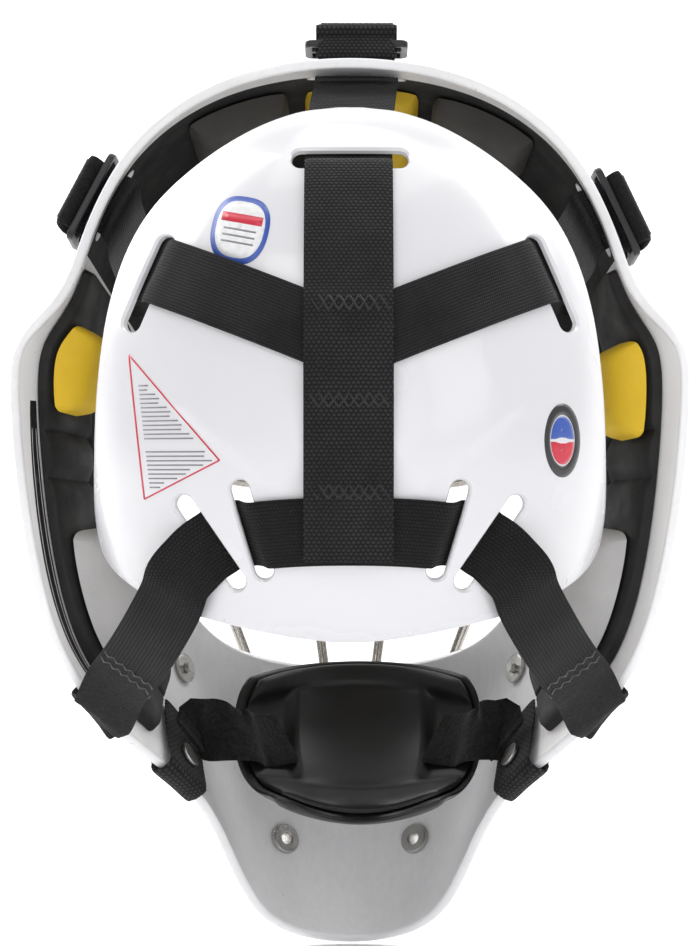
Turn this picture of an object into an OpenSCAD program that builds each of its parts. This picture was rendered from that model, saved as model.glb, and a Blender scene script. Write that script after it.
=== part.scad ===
// Goalie mask: laminated outer shell, welded wire cage, foam liners,
// strapped back plate and a hanging chin cup.
// Frame: X towards the wearer's right, Y forwards (the way the wearer looks),
// Z up. Origin: the point midway between the wearer's ears.

/* [Shell] */
// Wall thickness of the outer shell
shell_t = 4; // [3:0.5:5]
// Diameter of the crown vent holes
vent_d = 13; // [8:1:15]
// Diameter of the throat guard cord holes in the chin
cord_hole_d = 5; // [4:0.5:6]

/* [Cage] */
// Diameter of the cage's rim wire
rim_wire_d = 5; // [4:0.5:5.5]
// Diameter of the cage's inner bars
bar_d = 4.4; // [4:0.2:5]

/* [Back plate] */
// Wall thickness of the back plate
plate_t = 3; // [2.5:0.5:3.5]
// Thickness of the foam inside the back plate
plate_foam_t = 8; // [5:1:9]

/* [Harness] */
// Width of the centre webbing
web_w = 32; // [28:1:34]
// Width of the elastic straps
elastic_w = 25; // [22:1:26]
// Thickness of every strap
strap_t = 1.6; // [1.2:0.1:1.8]
// Width of the folded tabs that run through the side buckles
tab_w = 30; // [27:1:31]

/* [Liner] */
// Thickness of the thin side liners
liner_t = 6; // [4:1:7]
// Thickness of the forehead foam
brow_t = 13; // [8:1:16]

/* [Chin cup] */
// Wall thickness of the chin cup
cup_t = 4; // [3:0.5:6]

/* [Hidden] */
K = 21;            // meridians on one half of the shell, top centre to chin centre
NV = 2 * (K - 1);  // meridians round the whole shell
UMAX = 6;          // last column: the rear rim
white = "#f2f2f4"; black = "#1b1b1c"; steel = "#b9b4ac"; yellow = "#e2bd2c"; grey = "#5b5a56";

// Control net of the shell's outer surface. One row per meridian from the top centre
// down the right side to the chin, one column from the face opening's edge to the rear rim.
NET = [
 [[0,119,50],[0,125,63],[0,119,88],[0,98,119],[0,62,143],[0,20,157.5],[0,-26,158]],
 [[18,118,51],[21,123,64],[24,117,89],[27,96,119],[29,60,142],[30,18,155],[31,-25,155]],
 [[37,114,52],[42,118,65],[47,110,89],[52,88,116],[56,53,136],[58,14,146.5],[59,-22,145.5]],
 [[54,106,49],[62,108,62],[68,98,84],[75,75,107],[79,42,122],[82,8,129],[82,-19,128]],
 [[65,99,43],[75,98,55],[82,84,73],[90,60,91],[93,30,103],[95.5,2,109],[95,-16,108]],
 [[72,94,36],[82,91,47],[90,74,61],[98,48,75],[102,21,84],[104,0,88],[103.5,-12,88]],
 [[76,90,30],[86,86,39],[94,68,50],[102,42,62],[107,17,70],[108.5,0,74],[108.5,-9,73]],
 [[78.5,87,25],[88,83,33],[96,64,43],[104,38,54],[110.5,15,60],[113,1,64],[116,-8,63]],
 [[80,85,20],[89,81,27],[97,62,36],[105,36,46],[113.5,14,51],[118,1,54],[126,-10,53]],
 [[81,83,14],[90,79,20],[97.5,60,28],[105.5,35,36],[115,13,40],[121,0,42],[129.5,-12,42]],
 [[82,81,3],[90.5,77,8],[97.5,58,12],[105,34,17],[115,12,20],[121,-1,22],[129,-14,22]],
 [[81.5,81,-9],[90,77,-8],[96.5,59,-8],[104,34,-8],[113.5,11,-7],[119,-2,-6],[126.5,-16,-6]],
 [[80,83,-23],[88.5,79,-25],[95,61,-28],[101.5,37,-31],[110.5,13,-33],[115.5,-2,-36],[121.5,-16,-38]],
 [[77.5,87,-36],[86,84,-41],[92,67,-47],[97.5,44,-52],[105.5,20,-58],[109,4,-64],[114,-9,-68]],
 [[73,93,-48],[81.5,91,-56],[87,76,-63],[91,55,-70],[96,33,-77],[98,18,-85],[101,6,-90]],
 [[66,101,-59],[74.5,100,-71],[78.5,86,-80],[80.5,68,-88],[81.5,49,-95],[81,36,-104],[81,25,-111]],
 [[57,109,-69],[65,110,-84],[67.5,99,-96],[68,83,-105],[67,66,-112],[64,56,-121],[61,48,-127]],
 [[46,117,-75],[52.5,121,-93],[54.5,114,-111],[55,102,-125],[54,89,-138],[52,80,-149],[50,72,-155]],
 [[32,123,-79],[37,131,-99],[41,128,-125],[42,120,-145],[42,110,-161],[41,101,-173],[40,92,-180]],
 [[16,126,-81.5],[19,136,-102],[21,137,-131],[22,131,-152],[22,124,-170],[22,116,-183],[22,107,-191]],
 [[0,127,-82.5],[0,138,-103],[0,139,-133],[0,134,-155],[0,128,-173],[0,121,-186],[0,112,-194]]];

function unit(v) = v / norm(v);
function mirx(p) = [-p[0], p[1], p[2]];
function wrapv(k) = ((k % NV) + NV) % NV;
function row(k) = let (w = wrapv(k)) w < K ? NET[w] : [for (p = NET[NV - w]) mirx(p)];
// Uniform cubic B-spline weights and their derivatives
function bw(t) = [pow(1-t,3), 3*t*t*t - 6*t*t + 4, -3*t*t*t + 3*t*t + 3*t + 1, t*t*t] / 6;
function bd(t) = [-3*(1-t)*(1-t), 9*t*t - 12*t, -9*t*t + 6*t + 3, 3*t*t] / 6;
function mix4(a, b, c, d, w) = a*w[0] + b*w[1] + c*w[2] + d*w[3];
// One meridian's seven control points at v, and their rate of change round the shell
function rowat(v, w) = let (k = floor(v), t = v - k, q = w == 0 ? bw(t) : bd(t),
    a = row(k-1), b = row(k), c = row(k+1), d = row(k+2))
  [for (j = [0:6]) mix4(a[j], b[j], c[j], d[j], q)];
function ext(r) = concat([2*r[0] - r[1]], r, [2*r[6] - r[5]]);
function along(r, u, w) = let (e = ext(r), j = min(floor(u), 5), t = u - j)
  mix4(e[j], e[j+1], e[j+2], e[j+3], w == 0 ? bw(t) : bd(t));
// Point and outward normal of the outer surface
function S(u, v) = along(rowat(v, 0), u, 0);
function N(u, v) = unit(cross(along(rowat(v, 0), u, 1), along(rowat(v, 1), u, 0)));
function off(u, v, d) = S(u, v) + d * N(u, v);
// Direction from the wall towards the middle of the head
function inward(p) = unit([0, 5, 0.3 * p[2]] - p);
function lerp(a, b, t) = a + (b - a) * t;

// Closed solid between two grids of the same size, g0 outside and g1 inside
module slab(g0, g1) {
  m = len(g0); n = len(g0[0]); q = m * n;
  pts = concat([for (r = g0) for (p = r) p], [for (r = g1) for (p = r) p]);
  function id(i, j) = i * n + j;
  side = concat(
    [for (i = [0:m-2]) [id(i,0), id(i+1,0), id(i+1,0)+q, id(i,0)+q]],
    [for (i = [0:m-2]) [id(i+1,n-1), id(i,n-1), id(i,n-1)+q, id(i+1,n-1)+q]],
    [for (j = [0:n-2]) [id(0,j+1), id(0,j), id(0,j)+q, id(0,j+1)+q]],
    [for (j = [0:n-2]) [id(m-1,j), id(m-1,j+1), id(m-1,j+1)+q, id(m-1,j)+q]]);
  top = [for (i = [0:m-2]) for (j = [0:n-2]) each [[id(i,j), id(i,j+1), id(i+1,j)], [id(i+1,j), id(i,j+1), id(i+1,j+1)]]];
  bot = [for (i = [0:m-2]) for (j = [0:n-2]) each [[id(i,j)+q, id(i+1,j)+q, id(i,j+1)+q], [id(i+1,j)+q, id(i+1,j+1)+q, id(i,j+1)+q]]];
  tri = [for (f = side) each [[f[0], f[1], f[2]], [f[0], f[2], f[3]]]];
  polyhedron(points = pts, faces = concat(top, bot, tri), convexity = 10);
}
// Closed tube of rings; every ring has the same number of points
module rings(r, loop = false) {
  m = len(r); n = len(r[0]);
  pts = [for (c = r) for (p = c) p];
  function id(i, j) = (i % m) * n + (j % n);
  w = [for (i = [0:(loop ? m-1 : m-2)]) for (j = [0:n-1]) each [[id(i,j), id(i,j+1), id(i+1,j)], [id(i+1,j), id(i,j+1), id(i+1,j+1)]]];
  caps = loop ? [] : [[for (j = [n-1:-1:0]) id(0,j)], [for (j = [0:n-1]) id(m-1,j)]];
  polyhedron(points = pts, faces = concat(w, caps), convexity = 10);
}
// Smooth open curve through hand-placed points
function cr(a, b, c, d, t) = 0.5 * ((2*b) + (c - a)*t + (2*a - 5*b + 4*c - d)*t*t + (3*b - a - 3*c + d)*t*t*t);
function curve(p, n) = let (e = concat([2*p[0] - p[1]], p, [2*p[len(p)-1] - p[len(p)-2]]))
  concat([for (i = [1:len(p)-1]) for (s = [0:n-1]) cr(e[i-1], e[i], e[i+1], e[i+2], s/n)], [p[len(p)-1]]);
function tangent(p, i) = unit(p[min(i+1, len(p)-1)] - p[max(i-1, 0)]);
// Round wire along a curve
module wire(p, d, sides = 8) {
  rings([for (i = [0:len(p)-1]) let (t = tangent(p, i), a = unit(cross(t, abs(t[2]) > 0.9 ? [0,1,0] : [0,0,1])), b = cross(t, a))
    [for (s = [0:sides-1]) p[i] + d/2 * (a * cos(360*s/sides) - b * sin(360*s/sides))]]);
}
// Flat strap along a curve: w holds the width direction at each point
module ribbon(p, w, wide, t) {
  rings([for (i = [0:len(p)-1]) let (g = tangent(p, i), a = unit(w[i] - (w[i]*g)*g), b = cross(g, a))
    [p[i] - a*wide/2 - b*t/2, p[i] - a*wide/2 + b*t/2, p[i] + a*wide/2 + b*t/2, p[i] + a*wide/2 - b*t/2]]);
}
// Frame on the shell: x round the shell, y towards the rear rim, z outwards
module on_shell(u, v) {
  p = S(u, v); z = N(u, v); y0 = along(rowat(v, 0), u, 1); y = unit(y0 - (y0*z)*z); x = cross(y, z);
  multmatrix([[x[0], y[0], z[0], p[0]], [x[1], y[1], z[1], p[1]], [x[2], y[2], z[2], p[2]], [0, 0, 0, 1]]) children();
}
// Foam between the wall and the head: its base is gap off the inner wall, and it runs from t0 to t1
// towards the head, with edges sloped by eu and ev
module pad(u0, u1, v0, v1, gap, t0, t1, eu, ev, nu, nv) {
  function g(t, a, b) = [for (i = [0:nu]) [for (j = [0:nv])
    let (p = off(lerp(u0+a, u1-a, i/nu), lerp(v0+b, v1-b, j/nv), -shell_t - gap)) p + t * inward(p)]];
  slab(g(t0, 0, 0), g(t1, eu, ev));
}
// Thin foam that follows the wall
module liner(u0, u1, v0, v1, t0, t1, nu, nv) {
  function g(t, e) = [for (i = [0:nu]) [for (j = [0:nv]) off(lerp(u0+e, u1-e, i/nu), lerp(v0+e, v1-e, j/nv), -shell_t - t)]];
  slab(g(t0, 0), g(t1, 0.06));
}
// A strap laid on the shell at v: q holds [u, height over the outer surface, sideways shift]
module shell_ribbon(q, v, wide, more = [], before = false) {
  on = [for (a = q) off(a[0], v, a[1]) + a[2] * unit(along(rowat(v, 1), a[0], 0))];
  w1 = [for (a = q) unit(along(rowat(v, 1), a[0], 0))];
  pts = before ? concat([for (m = more) m[0]], on) : concat(on, [for (m = more) m[0]]);
  w = before ? concat([for (m = more) m[1]], w1) : concat(w1, [for (m = more) m[1]]);
  ribbon(pts, w, wide, strap_t);
}

// ---- Back plate surface ----
PA = 104; PB = 122; PC = 125; PZ = 20; PE = 2.2;
function dy(x, z) = -PB * pow(max(0, 1 - pow(abs(x)/PA, PE) - pow(abs(z - PZ)/PC, PE)), 1/PE);
function dn(x, z) = let (y = dy(x, z)) unit([sign(x) * pow(abs(x)/PA, PE-1) / PA,
  -pow(abs(y)/PB, PE-1) / PB, sign(z - PZ) * pow(abs(z - PZ)/PC, PE-1) / PC]);
function dp(x, z, g) = [x, dy(x, z), z] + g * dn(x, z);
// Slab on the plate surface: rows of [z, x from, x to] with z rising, from g0 to g1 off the surface
module dome_slab(rows, g0, g1, n) {
  function g(d) = [for (r = rows) [for (j = [0:n]) dp(lerp(r[1], r[2], j/n), r[0], d)]];
  slab(g(min(g0, g1)), g(max(g0, g1)));
}
// Slot with round ends through the plate: from a to b, both [x, z]
module plate_slot(a, b, wide) {
  l = norm(b - a); m = (a + b) / 2;
  translate([m[0], -150, m[1]]) rotate([0, -atan2(b[1]-a[1], b[0]-a[0]), 0]) {
    translate([-l/2, 0, -wide/2]) cube([l, 150, wide]);
    for (x = [-l/2, l/2]) translate([x, 0, 0]) rotate([-90, 0, 0]) cylinder(d = wide, h = 150, $fn = 24);
  }
}

// ---- Shell ----
US = [0, 0.35, 0.7, 1, 1.5, 2, 2.5, 3, 3.5, 4, 4.5, 4.8, 5.1, 5.4, 5.7, 6];
CLIPS = [for (c = [[1.3, 1.7], [1.5, 10.6], [1.5, 15.4]]) each [c, [c[0], NV - c[1]]]];
CROWN = [5.45, 0]; RIGHT = [4.95, 4.4]; LEFT = [4.95, NV - 4.1];
SLOTS = [[CROWN, 36, -2.5], [RIGHT, 29, 0], [LEFT, 29, 0]];
EYELETS = [[3.3, 18.6], [3.3, NV - 18.6]];
JAW_V = 15.6; LOWER_V = 14.1;
SNAPS = [for (v = [JAW_V, LOWER_V]) each [[5.25, v], [5.25, NV - v]]];
module vent(u, v, l, w) on_shell(u, v) {
  for (s = [-1, 1]) translate([s*(l-w)/2, 0, -14]) cylinder(d = w, h = 28, $fn = 32);
  translate([-(l-w)/2, -w/2, -14]) cube([l-w, w, 28]);
}
module shell() color(white) difference() {
  rings([for (v = [0:0.5:NV - 0.5]) concat(
    [for (u = US) off(u, v, -shell_t)],
    [off(6, v, -shell_t/2) + 1.6 * unit(along(rowat(v, 0), 6, 1))],
    [for (i = [len(US)-1:-1:0]) S(US[i], v)],
    [off(0, v, -shell_t/2) - 1.6 * unit(along(rowat(v, 0), 0, 1))])], loop = true);
  for (c = CLIPS) on_shell(c[0], c[1]) translate([0, 0, -12]) cylinder(d = 7, h = 24, $fn = 32);
  for (s = SLOTS) on_shell(s[0][0], s[0][1]) translate([s[2] - s[1]/2, -3.5, -14]) cube([s[1], 7, 28]);
  for (e = EYELETS) on_shell(e[0], e[1]) translate([0, 0, -12]) cylinder(d = 9.4, h = 24, $fn = 32);
  for (e = SNAPS) on_shell(e[0], e[1]) translate([0, 0, -12]) cylinder(d = 4.8, h = 24, $fn = 32);
  for (s = [-1, 1]) {
    vent(3.35, s > 0 ? 1.7 : NV - 1.7, 26, vent_d);
    vent(3.1, s > 0 ? 3.3 : NV - 3.3, 24, vent_d);
    vent(2.35, s > 0 ? 16.6 : NV - 16.6, 20, 9);
    vent(1.6, NV/2 + s*0.35, 8, 6);
    vent(1.6, NV/2 + s*1.1, 8, 6);
  }
}

// ---- Cage ----
function rim(v) = off(0.72, v, rim_wire_d/2 + 0.4);
// Meridian at which the rim wire has height z
function vz(z, a = 2, b = 20, n = 12) = let (m = (a + b)/2) n == 0 ? m : rim(m)[2] > z ? vz(z, m, b, n-1) : vz(z, a, m, n-1);
// Bulge of the cage at the middle
YA = [[-98, 139], [-80, 147], [-57, 153], [-28, 157], [0, 158], [25, 154], [42, 146], [58, 132]];
function cage_y(x, z, e) = let (a = lookup(z, YA)) a - (a - e[1]) * pow(min(1, abs(x)/e[0]), 2.5);
// Cage point at a share f of the half width, or at x, for a height z
function by_share(f, z, d) = let (e = rim(vz(z))) [f*e[0], cage_y(f*e[0], z, e) + d, z];
function by_x(x, z, d) = [x, cage_y(x, z, rim(vz(z))) + d, z];
module cage_rim_wire() color(steel) rings(let (m = 64, q = [for (i = [0:m-1]) rim(i*NV/m)])
  [for (i = [0:m-1]) let (t = unit(q[(i+1)%m] - q[(i+m-1)%m]), b = N(0.72, i*NV/m), a = cross(b, t), c = cross(t, a))
    [for (s = [0:7]) q[i] + rim_wire_d/2 * (a*cos(45*s) - c*sin(45*s))]], loop = true);
module cage_horizontal_bars() color(steel) {
  for (z = [-28, -57]) { e = rim(vz(z)); wire([for (i = [-12:12]) let (x = e[0] * sin(7.5*i)) [x, cage_y(x, z, e), z]], bar_d); }
  // Bars under and over the eyes, by share of the half width
  for (q = [[[0, 12], [0.1, 8.5], [0.27, -1], [0.5, -4], [0.76, 5], [1, 22]], [[0, 33], [0.11, 34], [0.3, 41], [0.52, 46], [0.76, 45], [1, 37]]])
    let (h = curve(q, 3), n = len(h) - 1) wire(concat([for (i = [n:-1:1]) by_share(-h[i][0], h[i][1], 0)], [for (a = h) by_share(a[0], a[1], 0)]), bar_d);
}
module cage_vertical_bars() color(steel) for (s = [-1, 1]) {
  wire([for (i = [0:7]) by_x(s*lerp(22, 9, i/7), lerp(2, -95.6, i/7), 0.3 - bar_d)], bar_d);
  wire([for (i = [0:6]) by_x(s*lerp(63, 38, i/6), lerp(-25, -90, i/6), 0.3 - bar_d)], bar_d);
  wire([for (i = [0:2]) by_x(s*19, lerp(36, 59.8, i/2), 0.3 - bar_d)], bar_d);
}
module cage_clips() color(black) for (c = CLIPS) on_shell(c[0], c[1]) difference() {
  union() {
    translate([-7, -7.4, 0.5]) cube([14, 14.4, 2]);
    translate([-7, -7.4, 0.5]) cube([14, 1.9, 5.8]);
    translate([-7, -17.6, 4.3]) cube([14, 12.1, 2]);
    translate([-7, -17.6, -1]) cube([14, 1.8, 7.3]);
  }
  translate([0, 0, -2]) cylinder(d = 4.4, h = 6, $fn = 32);
}
module cage_screws() color(steel) for (c = CLIPS) on_shell(c[0], c[1]) difference() {
  union() { translate([0, 0, -8.5]) cylinder(d = 4, h = 12, $fn = 32); translate([0, 0, 2.7]) cylinder(d1 = 9, d2 = 7, h = 2.3, $fn = 32); }
  translate([-0.6, -3, 4]) cube([1.2, 6, 2]);
}
module cage_tee_nuts() color(steel) for (c = CLIPS) on_shell(c[0], c[1]) difference() {
  union() { translate([0, 0, -shell_t-2.2]) cylinder(d = 12, h = 1.4, $fn = 32); translate([0, 0, -shell_t-2.2]) cylinder(d = 6.4, h = 4.6, $fn = 32); }
  translate([0, 0, -12]) cylinder(d = 4.2, h = 14, $fn = 32);
}
module throat_guard_eyelets() color(steel) for (e = EYELETS) on_shell(e[0], e[1]) difference() {
  union() {
    translate([0, 0, -shell_t-2.6]) cylinder(d = 8.8, h = shell_t+4.4, $fn = 48);
    translate([0, 0, 0.4]) cylinder(d1 = 14, d2 = 12, h = 1.4, $fn = 48);
    translate([0, 0, -shell_t-2.6]) cylinder(d1 = 12, d2 = 13, h = 1.4, $fn = 48);
  }
  translate([0, 0, -20]) cylinder(d = cord_hole_d, h = 40, $fn = 48);
}

// ---- Foam on the shell ----
module forehead_foam() color(black) pad(1.95, 3.0, -5, 5, 0.8, 0, brow_t, 0.15, 0.25, 5, 20);
module sweatband() color(grey) pad(2.15, 2.7, -4.3, 4.3, 0.8, brow_t + 0.8, brow_t + 4.3, 0.08, 0.15, 2, 16);
module crown_centre_pad() color(yellow) pad(3.15, 5.0, -0.62, 0.95, 0.8, 0, 9, 0.08, 0.12, 7, 4);
module crown_left_pad() color(grey) pad(3.75, 5.05, -2.35, -0.85, 1, 0, 11, 0.1, 0.15, 5, 6);
module crown_right_pad() color(grey) pad(3.75, 5.05, 1.15, 2.75, 1, 0, 11, 0.1, 0.15, 5, 6);
module side_liner(s) color(black) difference() {
  liner(2.1, 5.3, s > 0 ? 5.5 : NV - 15.05, s > 0 ? 15.05 : NV - 5.5, 0.5, liner_t, 8, 20);
  on_shell(5.25, s > 0 ? LOWER_V : NV - LOWER_V) translate([0, 0, -20]) cylinder(d = 14, h = 24, $fn = 32);
}
module right_side_liner() side_liner(1);
module left_side_liner() side_liner(-1);
module right_temple_pad() color(yellow) pad(3.9, 5.2, 7.9, 10.3, liner_t + 0.8, 0, 12, 0.12, 0.25, 6, 8);
module left_temple_pad() color(yellow) pad(3.9, 5.2, NV-9.9, NV-7.2, liner_t + 0.8, 0, 12, 0.12, 0.25, 6, 8);
module right_jaw_pad() color(grey) pad(2.7, 5.0, 11.6, 14.6, liner_t + 0.8, 0, 15, 0.2, 0.3, 7, 9);
module left_jaw_pad() color(grey) pad(2.7, 5.0, NV-14.6, NV-11.6, liner_t + 0.8, 0, 15, 0.2, 0.3, 7, 9);

// ---- Back plate ----
EDGE = curve([[135.5, 7], [133.5, 20], [126.5, 37], [114.5, 55.5], [99.5, 72], [82.5, 82.5], [60, 89.5], [34, 93.2], [8, 94.8], [-18, 95], [-33, 90.5], [-44, 76], [-52, 53], [-58, 25], [-60.2, 8]], 2);
module back_plate() color(white) difference() {
  dome_slab([for (i = [len(EDGE)-1:-1:0]) let (e = EDGE[i]) [e[0], -e[1], e[1]]], 0, -plate_t, 20);
  plate_slot([-18, 114.5], [18, 114.5], 7);
  for (s = [-1, 1]) {
    plate_slot([s*67.5, 83.5], [s*80, 55], 7);
    plate_slot([s*39.5, -6], [s*31, -35], 7);
    plate_slot([s*60, -11.5], [s*41, -39], 7);
  }
}
module back_plate_foam() color(black) dome_slab([for (z = [4:9:58]) [z, -66, 66]], -plate_t - 0.4, -plate_t - plate_foam_t, 16);
module back_plate_upper_pad() color(yellow) dome_slab([[60, -66, 66], [70, -60, 60], [82, -55, 55], [92, -48, 48], [103, -36, 36]], -plate_t - 0.4, -plate_t - plate_foam_t, 14);
module back_plate_lower_pad() color(black) dome_slab([for (z = [-50:12:-2]) [z, -24, 24]], -plate_t - 0.4, -plate_t - plate_foam_t, 6);

// ---- Harness on the back plate ----
WEB = [[120, -4.8], [117.5, -4.3], [115.4, -2.6], [114, -0.6], [112.2, 0.9], [109, 1.4], [100, 1.4], [85, 1.4], [72, 1.5], [66, 2.2], [61, 3.3], [50, 3.5], [40, 3.5], [32, 3.2], [26, 2.2], [20, 1.5], [8, 1.4], [0, 1.7], [-5, 2.8], [-9, 3.4], [-20, 3.6], [-26, 4.1], [-30, 4.6]];
module centre_webbing() color(black) ribbon([for (q = WEB) dp(-0.5, q[0], q[1])], [for (q = WEB) [1, 0, 0]], web_w, strap_t);
// Half of the upper elastic: [x, z, height]
UP = [[0, 47, 1.3], [6, 48.2, 1.3], [20, 53.8, 1.3], [36, 60.2, 1.3], [52, 66.6, 1.3], [63, 70.9, 1.3], [67, 72.5, 1.1], [69.5, 73.5, 0.2], [71.3, 74.2, -1.4], [73, 74.9, -3.2], [75, 75.7, -4.5], [77, 76.4, -4.8]];
function flat(w, n) = unit(w - (w*n)*n);
function both(q) = concat([for (i = [len(q)-1:-1:1]) [-q[i][0], q[i][1], q[i][2]]], q);
module upper_elastic() color(black) {
  q = both(UP); p = [for (a = q) dp(a[0], a[1], a[2])];
  ribbon(p, [for (i = [0:len(p)-1]) let (a = q[i], n = dn(a[0], a[1])) abs(a[0]) > 66 ? flat([-0.4 * sign(a[0]), 0, 0.92], n) : cross(n, tangent(p, i))], elastic_w, strap_t);
}
// Half of the lower elastic: over the middle, in at the inner slot and out at the outer one
LO = [[0, -20.5, 1.3], [10, -20.6, 1.3], [20, -21, 1.3], [28, -21.6, 1.3], [31.5, -22, 0.9], [33.8, -22.3, -0.8], [36, -22.6, -3.2], [38.5, -22.9, -5.2], [41.5, -23.2, -5.6], [46.4, -23.7, -5.6], [49.9, -24.4, -4.2], [52.5, -25.1, -1.9], [54.4, -25.8, 0.3]];
LOW = [[0,0,1],[0,0,1],[0,0,1],[-.1,0,1],[-.22,0,1],[-.28,0,1],[-.28,0,1],[-.3,0,1],[-.42,0,1],[-.56,0,1],[-.66,0,1],[-.69,0,1],[-.7,0,1]];
module lower_elastic() color(black) {
  q = both(LO); p = [for (a = q) dp(a[0], a[1], a[2])];
  ribbon(p, [for (i = [0:len(p)-1]) let (k = i - len(LO) + 1, w = LOW[abs(k)]) flat([-sign(k) * w[0], 0, w[2]], dn(q[i][0], q[i][1]))], elastic_w, strap_t);
}

// ---- Straps between the plate and the shell ----
module crown_web_link() color(black) {
  inner = [dp(-0.5, 120.6, -5.2), dp(-0.2, 126, -6), dp(0, 130, -6.6), [0.6, -44, 135.2], [1.2, -34, 140.4], [1.8, -22, 145.2], [2.2, -12, 148.4], [2.5, -6, 149.6], [2.5, -2.6, 150.8]];
  ribbon(concat(inner, [off(5.45, 0, -3) + [2.5, 0, 0], off(5.45, 0, -2.15) + [2.5, 0, 0]]), [for (i = [0:10]) [1, 0, 0]], web_w, strap_t);
}
TAIL = [[0, -1.85], [0, -0.7], [-0.2, 0.3], [-0.9, 1], [-2, 1.2], [-4, 1.2]];
// Strap lying outside the shell, l long, from the slot at a; k is the length of one unit of u
module tail(a, l, k, sx, wide) color(black)
  shell_ribbon(concat([for (t = TAIL) [a[0] + t[0]/k, t[1], sx]], [for (i = [1:5]) [a[0] - (4 + (l-4)*i/5)/k, 1.2, sx]]), a[1], wide);
module crown_strap_tail() tail(CROWN, 40, 45, 2.5, web_w);
module right_strap_tail() tail(RIGHT, 36, 27, 0, elastic_w);
module left_strap_tail() tail(LEFT, 36, 27, 0, elastic_w);
// Elastic from the plate's upper slot to the shell's side slot
module upper_link(s, a) color(black) {
  q = [[78, 76.7, -5.4], [81, 77.8, -5.6]];
  p0 = [for (b = q) dp(s*b[0], b[1], b[2])];
  e = off(a[0], a[1], -shell_t - 4.5);
  m0 = p0[1]; 
  mid = [for (t = [0.3, 0.6, 0.85]) lerp(m0, e, t) + [s*2*sin(180*t), 0, 0]];
  p = concat(p0, mid, [off(a[0], a[1], -shell_t - 2.6) + 0.9 * [0, -1, 0], off(a[0], a[1], -shell_t - 1), off(a[0], a[1], -2.15)]);
  w1 = unit(along(rowat(a[1], 1), a[0], 0));
  w1s = w1[2] > 0 ? w1 : -w1;
  ribbon(curve(p, 2), curve([for (i = [0:len(p)-1]) lerp([-0.4*s, 0, 0.92], w1s, i/(len(p)-1))], 2), elastic_w, strap_t);
}
module upper_right_elastic_link() upper_link(1, RIGHT);
module upper_left_elastic_link() upper_link(-1, LEFT);
// Lower strap: from the plate's outer slot to the shell's rear rim
module lower_strap(s) color(black) {
  v = s > 0 ? LOWER_V : NV - LOWER_V;
  r = S(6, v); g = unit(along(rowat(v, 0), 6, 1)); n = N(6, v);
  e = r + 8.9*g - 5.6*n;
  p = concat([dp(s*56.4, -27.4, 3.2), dp(s*60.5, -33, 6.5)], [[s*66.2, -88.5, -45], [s*73, -69, -59], [s*81, -44, -71.5], [s*89, -21, -81.5]], [e]);
  w1 = unit(along(rowat(v, 1), 6, 0)); w1s = w1[2] > 0 ? w1 : -w1;
  ribbon(curve(p, 2), curve([for (i = [0:len(p)-1]) lerp([s*0.57, 0, 0.82], w1s, i/(len(p)-1))], 2), elastic_w, strap_t);
}
module lower_right_strap() lower_strap(1);
module lower_left_strap() lower_strap(-1);
module lower_tail(s) color(black) {
  v = s > 0 ? LOWER_V : NV - LOWER_V; g = unit(along(rowat(v, 0), 6, 1)); n = N(6, v); r = S(6, v);
  w1 = unit(along(rowat(v, 1), 6, 0));
  difference() {
    ribbon([r + 4.5*g - 1.2*n, r + 4.1*g - 0.1*n, r + 3.2*g + 0.9*n, r + 1.5*g + 1.4*n, off(5.9, v, 1.3), off(5.7, v, 1.3), off(5.4, v, 1.3), off(5.1, v, 1.3), off(4.8, v, 1.3)],
      [for (i = [0:8]) w1], elastic_w, strap_t);
    on_shell(5.25, v) translate([0, 0, -5]) cylinder(d = 4.8, h = 12, $fn = 32);
  }
}
module lower_right_strap_tail() lower_tail(1);
module lower_left_strap_tail() lower_tail(-1);
// Web band round the jaw rim, for the chin straps
module jaw_web(s) color(black) {
  v = s > 0 ? JAW_V : NV - JAW_V; g = unit(along(rowat(v, 0), 6, 1)); n = N(6, v); r = S(6, v);
  w1 = unit(along(rowat(v, 1), 6, 0));
  p = concat([for (u = [4.7, 5, 5.3, 5.6, 5.85]) off(u, v, 2.2)], [r + 1.4*g + 2*n, r + 3*g + 0.6*n, r + 3.9*g - 1.2*n, r + 4*g - 3.2*n, r + 3.2*g - 5.4*n, r + 1.4*g - 6.5*n],
    [for (u = [5.85, 5.6, 5.2, 4.8, 4.4, 4, 3.6]) off(u, v, -shell_t - 2.8)]);
  difference() {
    ribbon(p, [for (i = [0:len(p)-1]) w1], elastic_w, strap_t);
    on_shell(5.25, v) translate([0, 0, -14]) cylinder(d = 4.8, h = 28, $fn = 32);
  }
}
module right_jaw_web() jaw_web(1);
module left_jaw_web() jaw_web(-1);
module strap_snaps() color(steel) for (e = SNAPS) on_shell(e[0], e[1]) {
  jaw = e[1] == JAW_V || e[1] == NV - JAW_V; low = -shell_t - (jaw ? 3.9 : 0.6);
  translate([0, 0, low - 1]) cylinder(d = 4.2, h = 5 - low, $fn = 32);
  translate([0, 0, jaw ? 3.2 : 2.5]) cylinder(d1 = 12, d2 = 9, h = 2, $fn = 48);
  translate([0, 0, low - 1.6]) cylinder(d = 10, h = 1.4, $fn = 48);
}

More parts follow.
